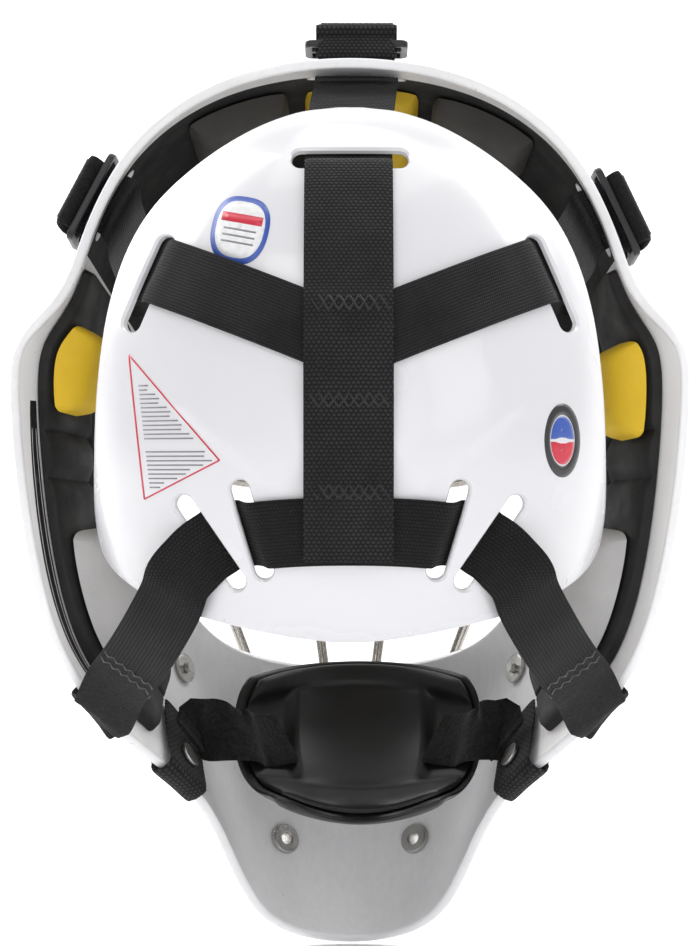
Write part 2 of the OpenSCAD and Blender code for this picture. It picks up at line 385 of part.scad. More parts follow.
// ---- Slide buckles and the strap loops through them ----
BK = 0.55; // how far forward of the slot a side buckle sits, in units of u
CROWN_B = [CROWN[0] - 0.38, 0]; RIGHT_B = [RIGHT[0] - BK, RIGHT[1]]; LEFT_B = [LEFT[0] - BK, LEFT[1]];
module buckle(w) color(black) difference() {
  translate([-w/2 - 4, -10, 4.8]) cube([w + 8, 20, 2.8]);
  for (s = [-1, 1]) translate([-w/2 - 1, s*4.9 - 3.1, 3]) cube([w + 2, 6.2, 6]);
}
LOOPQ = [[-2.2, 3.9], [2.2, 3.9], [4.3, 4.6], [4.9, 6.2], [5.2, 8], [7.4, 9.6], [9, 11.4], [8, 13.4], [4, 14.4], [0, 14.6], [-4, 14.4], [-8, 13.4], [-9, 11.4], [-7.4, 9.6], [-5.2, 8], [-4.9, 6.2], [-4.3, 4.6]];
module strap_loop(w) color(black) {
  m = len(LOOPQ);
  rings([for (i = [0:m-1]) let (a = LOOPQ[(i+m-1)%m], b = LOOPQ[(i+1)%m], t = unit(b - a), n = [-t[1], t[0]] * strap_t/2, c = LOOPQ[i])
    [[w/2, c[0]-n[0], c[1]-n[1]], [w/2, c[0]+n[0], c[1]+n[1]], [-w/2, c[0]+n[0], c[1]+n[1]], [-w/2, c[0]-n[0], c[1]-n[1]]]], loop = true);
}
module crown_slide_buckle() on_shell(CROWN_B[0], CROWN_B[1]) translate([-2.5, 0, 0]) buckle(web_w);
module right_slide_buckle() on_shell(RIGHT_B[0], RIGHT_B[1]) buckle(tab_w);
module left_slide_buckle() on_shell(LEFT_B[0], LEFT_B[1]) buckle(tab_w);
module crown_strap_loop() on_shell(CROWN_B[0], CROWN_B[1]) translate([-2.5, 0, 0]) strap_loop(web_w);
module right_strap_loop() on_shell(RIGHT_B[0], RIGHT_B[1]) strap_loop(tab_w);
module left_strap_loop() on_shell(LEFT_B[0], LEFT_B[1]) strap_loop(tab_w);

// ---- Chin cup ----
CUPQ = curve([[101, -77], [98, -90], [90, -106], [76, -120], [58, -130], [40, -136]], 3);
CUPW = curve([[42, 0], [49, 0], [51, 0], [48, 0], [42, 0], [33, 0]], 3);
NC = len(CUPQ) - 1;
function cup_at(s, w) = let (i = min(floor(s*NC), NC-1), t = s*NC - i, q = lerp(CUPQ[i], CUPQ[i+1], t), h = lerp(CUPW[i][0], CUPW[i+1][0], t), a = abs(w))
  [4 + h*w, q[0] - 30*pow(a, 2.4), q[1] + lerp(-11, 13, s)*a*a];
function cup_n(s, w) = let (e = 0.01) unit(cross(cup_at(min(1, s+e), w) - cup_at(max(0, s-e), w), cup_at(s, min(1, w+e)) - cup_at(s, max(-1, w-e))));
module cup_slab(s0, s1, w0, w1, d0, d1, ns, nw) {
  function g(d) = [for (i = [0:ns]) [for (j = [0:nw]) let (s = lerp(s0, s1, i/ns), w = lerp(w0, w1, j/nw)) cup_at(s, w) + d*cup_n(s, w)]];
  slab(g(d0), g(d1));
}
module chin_cup() color(black) cup_slab(0, 1, -0.96, 0.93, 0, -cup_t, 15, 18);
module chin_cup_pad() color(grey) union() {
  cup_slab(0.06, 0.95, -0.52, 0.52, 4.3, 0.3, 10, 10);
  cup_slab(0.03, 0.17, -0.88, 0.88, 3.9, 0.25, 3, 16);
  cup_slab(0.76, 0.96, -0.88, 0.88, 4.7, 0.25, 4, 16);
}
// Strap from the cup's side to the jaw web
module chin_strap(s) color(black) {
  v = s > 0 ? JAW_V : NV - JAW_V;
  c = [for (q = [[0.63, 4.4], [0.74, 4.4], [0.85, 5.2], [0.96, 7.6]]) cup_at(0.45, s*q[0]) + q[1]*cup_n(0.45, s*q[0])];
  d = -shell_t - 6.8;
  e = [off(4.2, v, d - 2.4), off(4.35, v, d - 1), off(4.5, v, d - 0.2), off(4.7, v, d)];
  p = concat(c, [lerp(c[3], e[0], 0.4) + [0, -2.6, 0], lerp(c[3], e[0], 0.78) + [0, -1.4, 0]], e);
  cw = unit(cup_at(0.35, s*0.8) - cup_at(0.55, s*0.8)); w1 = unit(along(rowat(v, 1), 4, 0)); w1s = w1[2] > 0 ? w1 : -w1;
  ribbon(curve(p, 2), curve([for (i = [0:len(p)-1]) lerp(cw, w1s, max(0, min(1, (i-3)/4)))], 2), elastic_w, strap_t);
}
module chin_right_strap() chin_strap(1);
module chin_left_strap() chin_strap(-1);

shell();
cage_rim_wire();
cage_horizontal_bars();
cage_vertical_bars();
cage_clips();
cage_screws();
cage_tee_nuts();
throat_guard_eyelets();
forehead_foam();
sweatband();
crown_centre_pad();
crown_left_pad();
crown_right_pad();
left_side_liner();
right_side_liner();
left_temple_pad();
right_temple_pad();
left_jaw_pad();
right_jaw_pad();
back_plate();
back_plate_foam();
back_plate_upper_pad();
back_plate_lower_pad();
centre_webbing();
upper_elastic();
lower_elastic();
crown_web_link();
upper_left_elastic_link();
upper_right_elastic_link();
lower_left_strap();
lower_right_strap();
lower_left_strap_tail();
lower_right_strap_tail();
crown_strap_tail();
left_strap_tail();
right_strap_tail();
crown_strap_loop();
left_strap_loop();
right_strap_loop();
crown_slide_buckle();
left_slide_buckle();
right_slide_buckle();
left_jaw_web();
right_jaw_web();
strap_snaps();
chin_cup();
chin_cup_pad();
chin_left_strap();
chin_right_strap();
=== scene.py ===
import math
import bpy
import numpy as np
from mathutils import Vector, Matrix
from mathutils.kdtree import KDTree


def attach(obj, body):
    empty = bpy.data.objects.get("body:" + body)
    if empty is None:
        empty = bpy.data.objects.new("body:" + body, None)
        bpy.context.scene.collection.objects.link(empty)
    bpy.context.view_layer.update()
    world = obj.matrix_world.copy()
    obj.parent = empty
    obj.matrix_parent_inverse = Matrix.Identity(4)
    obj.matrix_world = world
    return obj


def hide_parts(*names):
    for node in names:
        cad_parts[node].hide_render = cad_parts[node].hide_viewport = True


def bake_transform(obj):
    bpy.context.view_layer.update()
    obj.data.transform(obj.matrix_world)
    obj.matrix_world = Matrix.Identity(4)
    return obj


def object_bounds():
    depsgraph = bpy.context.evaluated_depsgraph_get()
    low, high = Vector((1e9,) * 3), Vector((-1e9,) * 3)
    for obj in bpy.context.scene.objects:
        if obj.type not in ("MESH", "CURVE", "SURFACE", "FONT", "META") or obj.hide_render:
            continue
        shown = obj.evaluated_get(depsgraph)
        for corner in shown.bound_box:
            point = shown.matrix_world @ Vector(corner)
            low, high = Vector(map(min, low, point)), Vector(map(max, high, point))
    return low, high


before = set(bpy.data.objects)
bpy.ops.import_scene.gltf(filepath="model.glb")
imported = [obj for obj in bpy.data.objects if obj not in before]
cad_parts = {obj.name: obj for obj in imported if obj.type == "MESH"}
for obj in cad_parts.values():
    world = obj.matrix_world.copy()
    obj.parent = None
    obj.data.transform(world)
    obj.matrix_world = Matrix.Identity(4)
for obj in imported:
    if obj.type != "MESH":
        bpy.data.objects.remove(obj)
cad_box = [list(map(float, c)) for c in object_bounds()]
scene = bpy.context.scene

# ------------------------------------------------------------------ camera
cam_data = bpy.data.cameras.new("camera")
cam_data.sensor_fit = "VERTICAL"
cam_data.sensor_height = 36.0
cam_data.sensor_width = 36.0
cam_data.lens = 36.0 * 1500.0 / 364.2
cam_data.clip_start = 0.05
cam_data.clip_end = 50.0
cam_data.dof.use_dof = False
camera = bpy.data.objects.new("camera", cam_data)
scene.collection.objects.link(camera)
camera.location = (0.0, -1.5, 0.0)
camera.rotation_euler = (math.radians(90), 0, 0)
scene.camera = camera

# ------------------------------------------------------------------ numbers shared with the CAD, in millimetres
SHELL_T, PLATE_T, PLATE_FOAM = 4.0, 3.0, 8.0
WEB_W, ELASTIC_W, STRAP_T, TAB_W = 32.0, 25.0, 1.6, 30.0
RIM_D, BAR_D = 5.0, 4.4
LINER_T, BROW_T, CUP_T = 6.0, 13.0, 4.0
NV = 40
NET = np.array([
 [[0,119,50],[0,125,63],[0,119,88],[0,98,119],[0,62,143],[0,20,157.5],[0,-26,158]],
 [[18,118,51],[21,123,64],[24,117,89],[27,96,119],[29,60,142],[30,18,155],[31,-25,155]],
 [[37,114,52],[42,118,65],[47,110,89],[52,88,116],[56,53,136],[58,14,146.5],[59,-22,145.5]],
 [[54,106,49],[62,108,62],[68,98,84],[75,75,107],[79,42,122],[82,8,129],[82,-19,128]],
 [[65,99,43],[75,98,55],[82,84,73],[90,60,91],[93,30,103],[95.5,2,109],[95,-16,108]],
 [[72,94,36],[82,91,47],[90,74,61],[98,48,75],[102,21,84],[104,0,88],[103.5,-12,88]],
 [[76,90,30],[86,86,39],[94,68,50],[102,42,62],[107,17,70],[108.5,0,74],[108.5,-9,73]],
 [[78.5,87,25],[88,83,33],[96,64,43],[104,38,54],[110.5,15,60],[113,1,64],[116,-8,63]],
 [[80,85,20],[89,81,27],[97,62,36],[105,36,46],[113.5,14,51],[118,1,54],[126,-10,53]],
 [[81,83,14],[90,79,20],[97.5,60,28],[105.5,35,36],[115,13,40],[121,0,42],[129.5,-12,42]],
 [[82,81,3],[90.5,77,8],[97.5,58,12],[105,34,17],[115,12,20],[121,-1,22],[129,-14,22]],
 [[81.5,81,-9],[90,77,-8],[96.5,59,-8],[104,34,-8],[113.5,11,-7],[119,-2,-6],[126.5,-16,-6]],
 [[80,83,-23],[88.5,79,-25],[95,61,-28],[101.5,37,-31],[110.5,13,-33],[115.5,-2,-36],[121.5,-16,-38]],
 [[77.5,87,-36],[86,84,-41],[92,67,-47],[97.5,44,-52],[105.5,20,-58],[109,4,-64],[114,-9,-68]],
 [[73,93,-48],[81.5,91,-56],[87,76,-63],[91,55,-70],[96,33,-77],[98,18,-85],[101,6,-90]],
 [[66,101,-59],[74.5,100,-71],[78.5,86,-80],[80.5,68,-88],[81.5,49,-95],[81,36,-104],[81,25,-111]],
 [[57,109,-69],[65,110,-84],[67.5,99,-96],[68,83,-105],[67,66,-112],[64,56,-121],[61,48,-127]],
 [[46,117,-75],[52.5,121,-93],[54.5,114,-111],[55,102,-125],[54,89,-138],[52,80,-149],[50,72,-155]],
 [[32,123,-79],[37,131,-99],[41,128,-125],[42,120,-145],[42,110,-161],[41,101,-173],[40,92,-180]],
 [[16,126,-81.5],[19,136,-102],[21,137,-131],[22,131,-152],[22,124,-170],[22,116,-183],[22,107,-191]],
 [[0,127,-82.5],[0,138,-103],[0,139,-133],[0,134,-155],[0,128,-173],[0,121,-186],[0,112,-194]]], float)
FULL = np.zeros((NV, 9, 3))
for k in range(NV):
    r = NET[k] if k < 21 else NET[NV - k] * np.array([-1.0, 1.0, 1.0])
    FULL[k, 1:8] = r
    FULL[k, 0] = 2 * r[0] - r[1]
    FULL[k, 8] = 2 * r[6] - r[5]


def unit(v):
    v = np.asarray(v, float)
    return v / np.maximum(np.linalg.norm(v, axis=-1, keepdims=True), 1e-12)


def arr(*a):
    return np.array(a, float)


def basis(t, d):
    if d:
        return np.stack([-3 * (1 - t) ** 2, 9 * t * t - 12 * t, -9 * t * t + 6 * t + 3, 3 * t * t], -1) / 6
    return np.stack([(1 - t) ** 3, 3 * t ** 3 - 6 * t * t + 4, -3 * t ** 3 + 3 * t * t + 3 * t + 1, t ** 3], -1) / 6


def surf(u, v, du=0, dv=0):
    u, v = np.broadcast_arrays(np.asarray(u, float), np.asarray(v, float))
    v = np.mod(v, NV)
    k = np.floor(v).astype(int)
    j = np.clip(np.floor(u).astype(int), 0, 5)
    wv, wu = basis(v - k, dv), basis(u - j, du)
    P = FULL[(k[..., None, None] + np.arange(-1, 3)[:, None]) % NV, j[..., None, None] + np.arange(4)[None, :]]
    return np.einsum("...a,...b,...abc->...c", wv, wu, P)


def nrm(u, v):
    return unit(np.cross(surf(u, v, 1, 0), surf(u, v, 0, 1)))


def at(u, v, d=0.0):
    return surf(u, v) + np.asarray(d, float)[..., None] * nrm(u, v)


def su(u, v):
    return unit(surf(u, v, 1, 0))


def sv(u, v):
    return unit(surf(u, v, 0, 1))


def spot(u, v):
    """Local frame on the shell: point, x round it, y towards the rear rim, z outwards."""
    p, z = surf(u, v), nrm(u, v)
    y = surf(u, v, 1, 0)
    y = unit(y - (y @ z) * z)
    return p, np.cross(y, z), y, z


def locate(u0, v0, xy):
    """Parameters of the shell points that have local coordinates xy round (u0, v0)."""
    p, X, Y, Z = spot(u0, v0)
    a, b = surf(u0, v0, 1, 0), surf(u0, v0, 0, 1)
    inv = np.linalg.inv(np.array([[a @ X, b @ X], [a @ Y, b @ Y]]))
    uv = np.array([u0, v0]) + xy @ inv.T
    for _ in range(8):
        q = surf(uv[..., 0], uv[..., 1]) - p
        uv = uv + (xy - np.stack([q @ X, q @ Y], -1)) @ inv.T
    return uv[..., 0], uv[..., 1]


def inward(p):
    c = np.stack([np.zeros(p.shape[:-1]), np.full(p.shape[:-1], 5.0), 0.3 * p[..., 2]], -1)
    return unit(c - p)


def lerp(a, b, t):
    return a + (b - a) * t


def sstep(a, b, x):
    t = np.clip((np.asarray(x, float) - a) / (b - a), 0, 1)
    return t * t * (3 - 2 * t)


def cr_dense(p, n=16):
    """Smooth curve through points: Catmull-Rom, n steps a span."""
    p = np.asarray(p, float)
    e = np.concatenate([[2 * p[0] - p[1]], p, [2 * p[-1] - p[-2]]])
    t = np.linspace(0, 1, n, endpoint=False)[:, None]
    out = []
    for i in range(1, len(p)):
        a, b, c, d = e[i - 1], e[i], e[i + 1], e[i + 2]
        out.append(0.5 * ((2 * b) + (c - a) * t + (2 * a - 5 * b + 4 * c - d) * t * t + (3 * b - a - 3 * c + d) * t ** 3))
    return np.concatenate(out + [p[-1:]])


def resample(p, w, step):
    """Even steps along a smooth curve; w rides along."""
    P, W = cr_dense(p), cr_dense(w)
    s = np.concatenate([[0], np.cumsum(np.linalg.norm(np.diff(P, axis=0), axis=1))])
    n = max(4, int(round(s[-1] / step)))
    t = np.linspace(0, s[-1], n + 1)
    f = lambda q: np.stack([np.interp(t, s, q[:, i]) for i in range(q.shape[1])], -1)
    return f(P), f(W), t


# ------------------------------------------------------------------ mesh making (millimetres in, metres out)
def grid_quads(idx, wrap_i=False, wrap_j=False):
    a = idx if wrap_i else idx[:-1]
    b = np.roll(idx, -1, 0) if wrap_i else idx[1:]
    a2, b2 = (np.roll(a, -1, 1), np.roll(b, -1, 1)) if wrap_j else (a[:, 1:], b[:, 1:])
    if not wrap_j:
        a, b = a[:, :-1], b[:, :-1]
    return np.stack([a, a2, b2, b], -1).reshape(-1, 4)


def volume(v, faces):
    tri = []
    for f in faces:
        for i in range(1, len(f) - 1):
            tri.append((f[0], f[i], f[i + 1]))
    t = v[np.array(tri)]
    return float(np.einsum("ij,ij->i", t[:, 0], np.cross(t[:, 1], t[:, 2])).sum() / 6)


def oriented(v, faces):
    c = v - v.mean(0)
    return faces if volume(c, faces) > 0 else [tuple(f)[::-1] for f in faces]


def loft(rings, loop=False):
    """Solid through closed rings (m, n, 3)."""
    m, n = rings.shape[:2]
    idx = np.arange(m * n).reshape(m, n)
    f = grid_quads(idx, wrap_i=loop, wrap_j=True).tolist()
    if not loop:
        f += [idx[0][::-1].tolist(), idx[-1].tolist()]
    v = rings.reshape(-1, 3)
    return v, oriented(v, f)


def slab(top, bot):
    """Solid between two grids of the same size."""
    m, n = top.shape[:2]
    idx = np.arange(m * n).reshape(m, n)
    q = m * n
    f = grid_quads(idx).tolist() + [r[::-1] for r in (grid_quads(idx) + q).tolist()]
    loop = np.concatenate([idx[0, :-1], idx[:-1, -1], idx[-1, :0:-1], idx[:0:-1, 0]])
    nxt = np.roll(loop, -1)
    f += np.stack([loop, loop + q, nxt + q, nxt], -1).tolist()
    v = np.concatenate([top.reshape(-1, 3), bot.reshape(-1, 3)])
    return v, oriented(v, f)


def join(parts):
    """Several (verts, faces) as one, with the part number of every face."""
    vs, fs, tag, o = [], [], [], 0
    for i, (v, f) in enumerate(parts):
        vs.append(v)
        fs += [[k + o for k in q] for q in f]
        tag += [i] * len(f)
        o += len(v)
    return np.concatenate(vs), fs, tag


def mesh_object(name, verts, faces, mats, matidx=None, attrs=None, sharp=40.0):
    me = bpy.data.meshes.new(name)
    me.from_pydata((np.asarray(verts) * 0.001).tolist(), [], [tuple(map(int, f)) for f in faces])
    me.update()
    for m in mats:
        me.materials.append(m)
    if matidx is not None:
        me.polygons.foreach_set("material_index", np.asarray(matidx, np.int32))
    for key, val in (attrs or {}).items():
        a = me.attributes.new(key, "FLOAT_VECTOR", "POINT")
        a.data.foreach_set("vector", np.asarray(val, np.float32).ravel())
    me.polygons.foreach_set("use_smooth", np.ones(len(me.polygons), bool))
    if sharp:
        me.set_sharp_from_angle(angle=math.radians(sharp))
    ob = bpy.data.objects.new(name, me)
    scene.collection.objects.link(ob)
    return ob


def settle(ob):
    """Applies an object's modifiers to its mesh."""
    dg = bpy.context.evaluated_depsgraph_get()
    me = bpy.data.meshes.new_from_object(ob.evaluated_get(dg), preserve_all_data_layers=True, depsgraph=dg)
    old = ob.data
    ob.modifiers.clear()
    ob.data = me
    bpy.data.meshes.remove(old)
    me.name = ob.name
    return ob


def place(ob, body=None, nodes=()):
    if nodes:
        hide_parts(*nodes)
    if body:
        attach(ob, body)
    return ob


# ------------------------------------------------------------------ materials
class Graph:
    """A small helper that writes one node material."""

    def __init__(self, name, **fixed):
        self.m = bpy.data.materials.new(name)
        self.m.use_nodes = True
        self.t = self.m.node_tree
        self.t.nodes.clear()
        self.out = self.t.nodes.new("ShaderNodeOutputMaterial")
        self.b = self.t.nodes.new("ShaderNodeBsdfPrincipled")
        self.t.links.new(self.b.outputs[0], self.out.inputs[0])
        for k, v in fixed.items():
            self.b.inputs[k.replace("_", " ")].default_value = v

    def node(self, kind, **props):
        n = self.t.nodes.new(kind)
        for k, v in props.items():
            setattr(n, k, v)
        return n

    def put(self, socket, value):
        if hasattr(value, "is_linked"):
            self.t.links.new(value, socket)
        else:
            socket.default_value = value

    def set(self, name, value):
        self.put(self.b.inputs[name], value)

    def math(self, op, a, b=0.0, c=0.0, clamp=False):
        n = self.node("ShaderNodeMath", operation=op, use_clamp=clamp)
        for s, x in zip(n.inputs, (a, b, c)):
            self.put(s, x)
        return n.outputs[0]

    def obj(self):
        return self.node("ShaderNodeTexCoord").outputs["Object"]

    def attr(self, name):
        return self.node("ShaderNodeAttribute", attribute_type="GEOMETRY", attribute_name=name).outputs["Vector"]

    def sep(self, vec):
        n = self.node("ShaderNodeSeparateXYZ")
        self.put(n.inputs[0], vec)
        return n.outputs

    def com(self, x, y, z=0.0):
        n = self.node("ShaderNodeCombineXYZ")
        for s, q in zip(n.inputs, (x, y, z)):
            self.put(s, q)
        return n.outputs[0]

    def scaled(self, vec, s):
        n = self.node("ShaderNodeVectorMath", operation="MULTIPLY")
        self.put(n.inputs[0], vec)
        n.inputs[1].default_value = s if hasattr(s, "__len__") else (s, s, s)
        return n.outputs[0]

    def noise(self, vec, scale, detail=2.0, rough=0.5, distort=0.0):
        n = self.node("ShaderNodeTexNoise")
        self.put(n.inputs["Vector"], vec)
        n.inputs["Scale"].default_value = scale
        n.inputs["Detail"].default_value = detail
        n.inputs["Roughness"].default_value = rough
        n.inputs["Distortion"].default_value = distort
        return n.outputs["Fac"]

    def cells(self, vec, scale, feature="F1", what="Distance"):
        n = self.node("ShaderNodeTexVoronoi", feature=feature)
        self.put(n.inputs["Vector"], vec)
        n.inputs["Scale"].default_value = scale
        return n.outputs[what]

    def ramp(self, x, *stops, smooth=False):
        n = self.node("ShaderNodeValToRGB")
        self.put(n.inputs[0], x)
        e = n.color_ramp.elements
        while len(e) < len(stops):
            e.new(0.5)
        for q, (pos, col) in zip(e, stops):
            q.position = pos
            q.color = (*col, 1.0) if hasattr(col, "__len__") else (col, col, col, 1.0)
        if smooth:
            n.color_ramp.interpolation = "EASE"
        return n.outputs[0]

    def mix(self, f, a, b, blend="MIX"):
        n = self.node("ShaderNodeMix", data_type="RGBA", blend_type=blend)
        self.put(n.inputs[0], f)
        for s, x in ((n.inputs[6], a), (n.inputs[7], b)):
            self.put(s, (*x, 1.0) if isinstance(x, tuple) and len(x) == 3 else x)
        return n.outputs[2]

    def span(self, x, a, b, lo, hi):
        n = self.node("ShaderNodeMapRange", clamp=True)
        self.put(n.inputs[0], x)
        for s, q in zip(n.inputs[1:5], (a, b, lo, hi)):
            s.default_value = q
        return n.outputs[0]

    def bump(self, height, dist_mm, strength=1.0, after=None):
        n = self.node("ShaderNodeBump")
        n.inputs["Strength"].default_value = strength
        n.inputs["Distance"].default_value = dist_mm * 0.001
        self.put(n.inputs["Height"], height)
        if after is not None:
            self.t.links.new(after, n.inputs["Normal"])
        self.last = n.outputs[0]
        return self.last


def m_white(name, base, dim, scuffs=True):
    """Sprayed gloss paint: faint orange peel, slight tone drift, scuffs where the edge attribute says so."""
    g = Graph(name, Coat_Weight=0.45, Coat_Roughness=0.07, IOR=1.49, Specular_IOR_Level=0.5)
    o = g.obj()
    drift = g.noise(o, 6, 2)
    col = g.mix(g.span(drift, 0.35, 0.65, 0, 1), dim, base)
    rough = g.span(g.noise(o, 30, 2), 0.2, 0.8, 0.24, 0.28)
    fine = g.noise(o, 900, 2)
    if scuffs:
        e = g.sep(g.attr("wear_and_inner_shade"))[0]
        streak = g.noise(g.scaled(o, (1, 1, 0.35)), 260, 5, 0.65, 0.4)
        mark = g.math("MULTIPLY", g.span(streak, 0.66, 0.76, 0, 1), g.span(e, 0.35, 1.0, 0, 1))
        grime = g.math("MULTIPLY", g.span(g.noise(o, 38, 4), 0.45, 0.85, 0, 0.3), e)
        col = g.mix(grime, col, (0.55, 0.55, 0.56))
        col = g.mix(g.math("MULTIPLY", mark, 0.75), col, (0.16, 0.155, 0.15))
        rough = g.math("ADD", rough, g.math("MULTIPLY", g.math("MAXIMUM", mark, grime), 0.35))
        dents = g.math("SUBTRACT", fine, g.math("MULTIPLY", mark, 1.6))
    else:
        dents = fine
    g.set("Base Color", col)
    g.set("Roughness", rough)
    n = g.bump(g.noise(o, 70, 2), 0.12, 0.25)
    g.set("Normal", g.bump(dents, 0.012, 0.8, n))
    return g.m


def m_inner(name):
    """Inside of the shell: unpolished, a little fibre mat and resin flow, with painted light making it near-white
    towards the rear rim and painted shade leaving the deeper inside and the chin darker.
    """
    g = Graph(name, Coat_Weight=0.15, Coat_Roughness=0.3)
    o = g.obj()
    uv = g.sep(g.attr("wear_and_inner_shade"))
    # Painted light and shade: y of the attribute is 1 near the rear rim and 0 deeper inside and at the chin
    near = g.span(uv[1], 0.0, 1.0, 0, 1)
    mat = g.noise(g.scaled(o, (1, 1, 0.3)), 420, 4, 0.7)
    col = g.mix(g.span(mat, 0.3, 0.7, 0, 1), (0.78, 0.78, 0.79), (0.84, 0.84, 0.85))
    # Painted light: near-white towards the rear rim, so the deeper inside and the chin read darker as painted shade
    col = g.mix(near, col, (0.97, 0.962, 0.965))
    speck = g.cells(o, 130)
    col = g.mix(g.span(speck, 0.02, 0.05, 0.55, 0), col, (0.12, 0.12, 0.12))
    flow = g.noise(g.scaled(o, (1, 1, 0.08)), 60, 3)
    g.set("Base Color", g.mix(g.span(flow, 0.55, 0.7, 0, 0.25), col, (0.70, 0.70, 0.72)))
    g.set("Roughness", g.span(mat, 0.3, 0.7, 0.38, 0.55))
    n = g.bump(flow, 0.25, 0.4)
    g.set("Normal", g.bump(mat, 0.06, 0.6, n))
    return g.m


def m_web(name, row=1.42, col_w=1.75, base=(0.005, 0.005, 0.0055), top=(0.030, 0.030, 0.031), depth=0.42, lint=0.22):
    """Woven webbing: rows of plump yarn floats, offset from row to row, with a little lint, and painted shade darkening
    the gaps between the yarns.
    """
    g = Graph(name, Sheen_Weight=0.05, Sheen_Roughness=0.5, IOR=1.45, Specular_IOR_Level=0.2)
    st = g.sep(g.attr("st"))
    o = g.obj()
    wob = g.math("MULTIPLY", g.math("SUBTRACT", g.noise(o, 160, 2), 0.5), 0.55)
    r = g.math("DIVIDE", g.math("ADD", st[0], wob), row)
    rowno = g.math("FLOOR", r)
    fr = g.math("FRACT", r)
    c = g.math("ADD", g.math("DIVIDE", g.math("ADD", st[1], wob), col_w), g.math("MULTIPLY", g.math("MODULO", rowno, 2.0), 0.5))
    fc = g.math("FRACT", c)
    hr = g.math("SINE", g.math("MULTIPLY", fr, math.pi))
    hc = g.math("SINE", g.math("MULTIPLY", fc, math.pi))
    h = g.math("MULTIPLY", g.math("POWER", hr, 0.7), g.math("POWER", g.math("ABSOLUTE", hc), 0.8))
    yarn = g.noise(g.com(g.math("MULTIPLY", r, 4.0), g.math("MULTIPLY", c, 9.0)), 2.2, 3)
    hh = g.math("ADD", h, g.math("MULTIPLY", yarn, 0.25))
    tone = g.span(g.noise(o, 75, 3), 0.3, 0.7, 0.65, 1.25)
    # Painted shade: colour runs from base in the gaps between yarns to top on the yarn crowns
    colr = g.mix(g.math("MULTIPLY", g.span(hh, 0.15, 1.15, 0, 1), tone), base, top)
    fl = g.noise(o, 1500, 3, 0.7)
    colr = g.mix(g.math("MULTIPLY", g.span(fl, 0.71, 0.8, 0, 1), lint), colr, (0.3, 0.3, 0.3))
    g.set("Base Color", colr)
    g.set("Roughness", g.span(hh, 0.1, 1.2, 0.95, 0.68))
    n = g.bump(hh, depth, 1.0)
    g.set("Normal", g.bump(g.noise(o, 2600, 2), 0.05, 0.5, n))
    return g.m


def m_elastic(name, base=(0.004, 0.004, 0.0045), top=(0.024, 0.024, 0.025), rib=1.15, pick=0.85, slant=0.55, depth=0.3):
    """Elastic: fine ribs along the strap, broken by a slanted weft, with painted shade darkening the grooves between
    ribs.
    """
    g = Graph(name, Sheen_Weight=0.04, Sheen_Roughness=0.5, Specular_IOR_Level=0.16)
    st = g.sep(g.attr("st"))
    o = g.obj()
    wob = g.math("MULTIPLY", g.math("SUBTRACT", g.noise(o, 120, 2), 0.5), 0.5)
    a = g.math("DIVIDE", g.math("ADD", st[1], wob), rib)
    b = g.math("ADD", g.math("DIVIDE", st[0], pick), g.math("MULTIPLY", g.math("FLOOR", a), slant))
    ha = g.math("ABSOLUTE", g.math("SINE", g.math("MULTIPLY", a, math.pi)))
    hb = g.math("ABSOLUTE", g.math("SINE", g.math("MULTIPLY", b, math.pi)))
    h = g.math("MULTIPLY", g.math("POWER", ha, 0.6), g.math("ADD", g.math("MULTIPLY", g.math("POWER", hb, 0.8), 0.75), 0.25))
    tone = g.span(g.noise(o, 60, 3), 0.3, 0.7, 0.6, 1.2)
    # Painted shade: colour runs from base in the grooves to top on the rib crowns
    col = g.mix(g.math("MULTIPLY", h, tone), base, top)
    fl = g.noise(o, 1700, 2, 0.7)
    col = g.mix(g.span(fl, 0.72, 0.8, 0, 0.2), col, (0.2, 0.2, 0.2))
    g.set("Base Color", col)
    g.set("Roughness", g.span(h, 0.0, 1.0, 0.95, 0.72))
    n = g.bump(h, depth, 1.0)
    g.set("Normal", g.bump(g.noise(o, 2400, 2), 0.05, 0.5, n))
    return g.m


def m_tab(name, base=(0.006, 0.006, 0.0065), top=(0.022, 0.022, 0.023), fuzz=0.25, scale=900.0, lint=0.25):
    """Hook or loop tape: matted fibre with soft pile."""
    g = Graph(name, Sheen_Weight=0.1, Sheen_Roughness=0.35, Specular_IOR_Level=0.16)
    o = g.obj()
    pile = g.noise(o, scale, 4, 0.7, 0.6)
    clump = g.noise(o, 110, 3)
    f = g.math("MULTIPLY", g.span(pile, 0.3, 0.75, 0, 1), g.span(clump, 0.25, 0.75, 0.55, 1.2))
    col = g.mix(f, base, top)
    col = g.mix(g.math("MULTIPLY", g.span(g.noise(o, 1300, 3, 0.75), 0.7, 0.8, 0, 1), lint), col, (0.26, 0.26, 0.27))
    g.set("Base Color", col)
    g.set("Roughness", g.span(pile, 0.3, 0.7, 0.98, 0.82))
    n = g.bump(clump, 0.35, 0.5)
    g.set("Normal", g.bump(pile, fuzz, 1.0, n))
    return g.m


def m_foam(name, base, dim, skin=0.5, pore=1900.0, dust=0.25):
    """Closed-cell foam: fine pores, drifting tone, light dust flecks."""
    g = Graph(name, Specular_IOR_Level=0.4)
    o = g.obj()
    pores = g.cells(o, pore)
    fine = g.noise(o, 2300, 3, 0.7)
    drift = g.noise(o, 34, 3)
    col = g.mix(g.span(drift, 0.3, 0.7, 0, 1), dim, base)
    col = g.mix(g.span(pores, 0.0, 0.35, 0.30, 0), col, tuple(c * 0.45 for c in base))
    col = g.mix(g.span(fine, 0.7, 0.8, 0, dust), col, (0.6, 0.6, 0.58))
    g.set("Base Color", col)
    g.set("Roughness", g.span(g.noise(o, 90, 3), 0.3, 0.7, skin, skin + 0.22))
    n = g.bump(g.noise(o, 55, 3), 0.35, 0.35)
    g.set("Normal", g.bump(g.math("ADD", pores, fine), 0.05, 0.7, n))
    return g.m


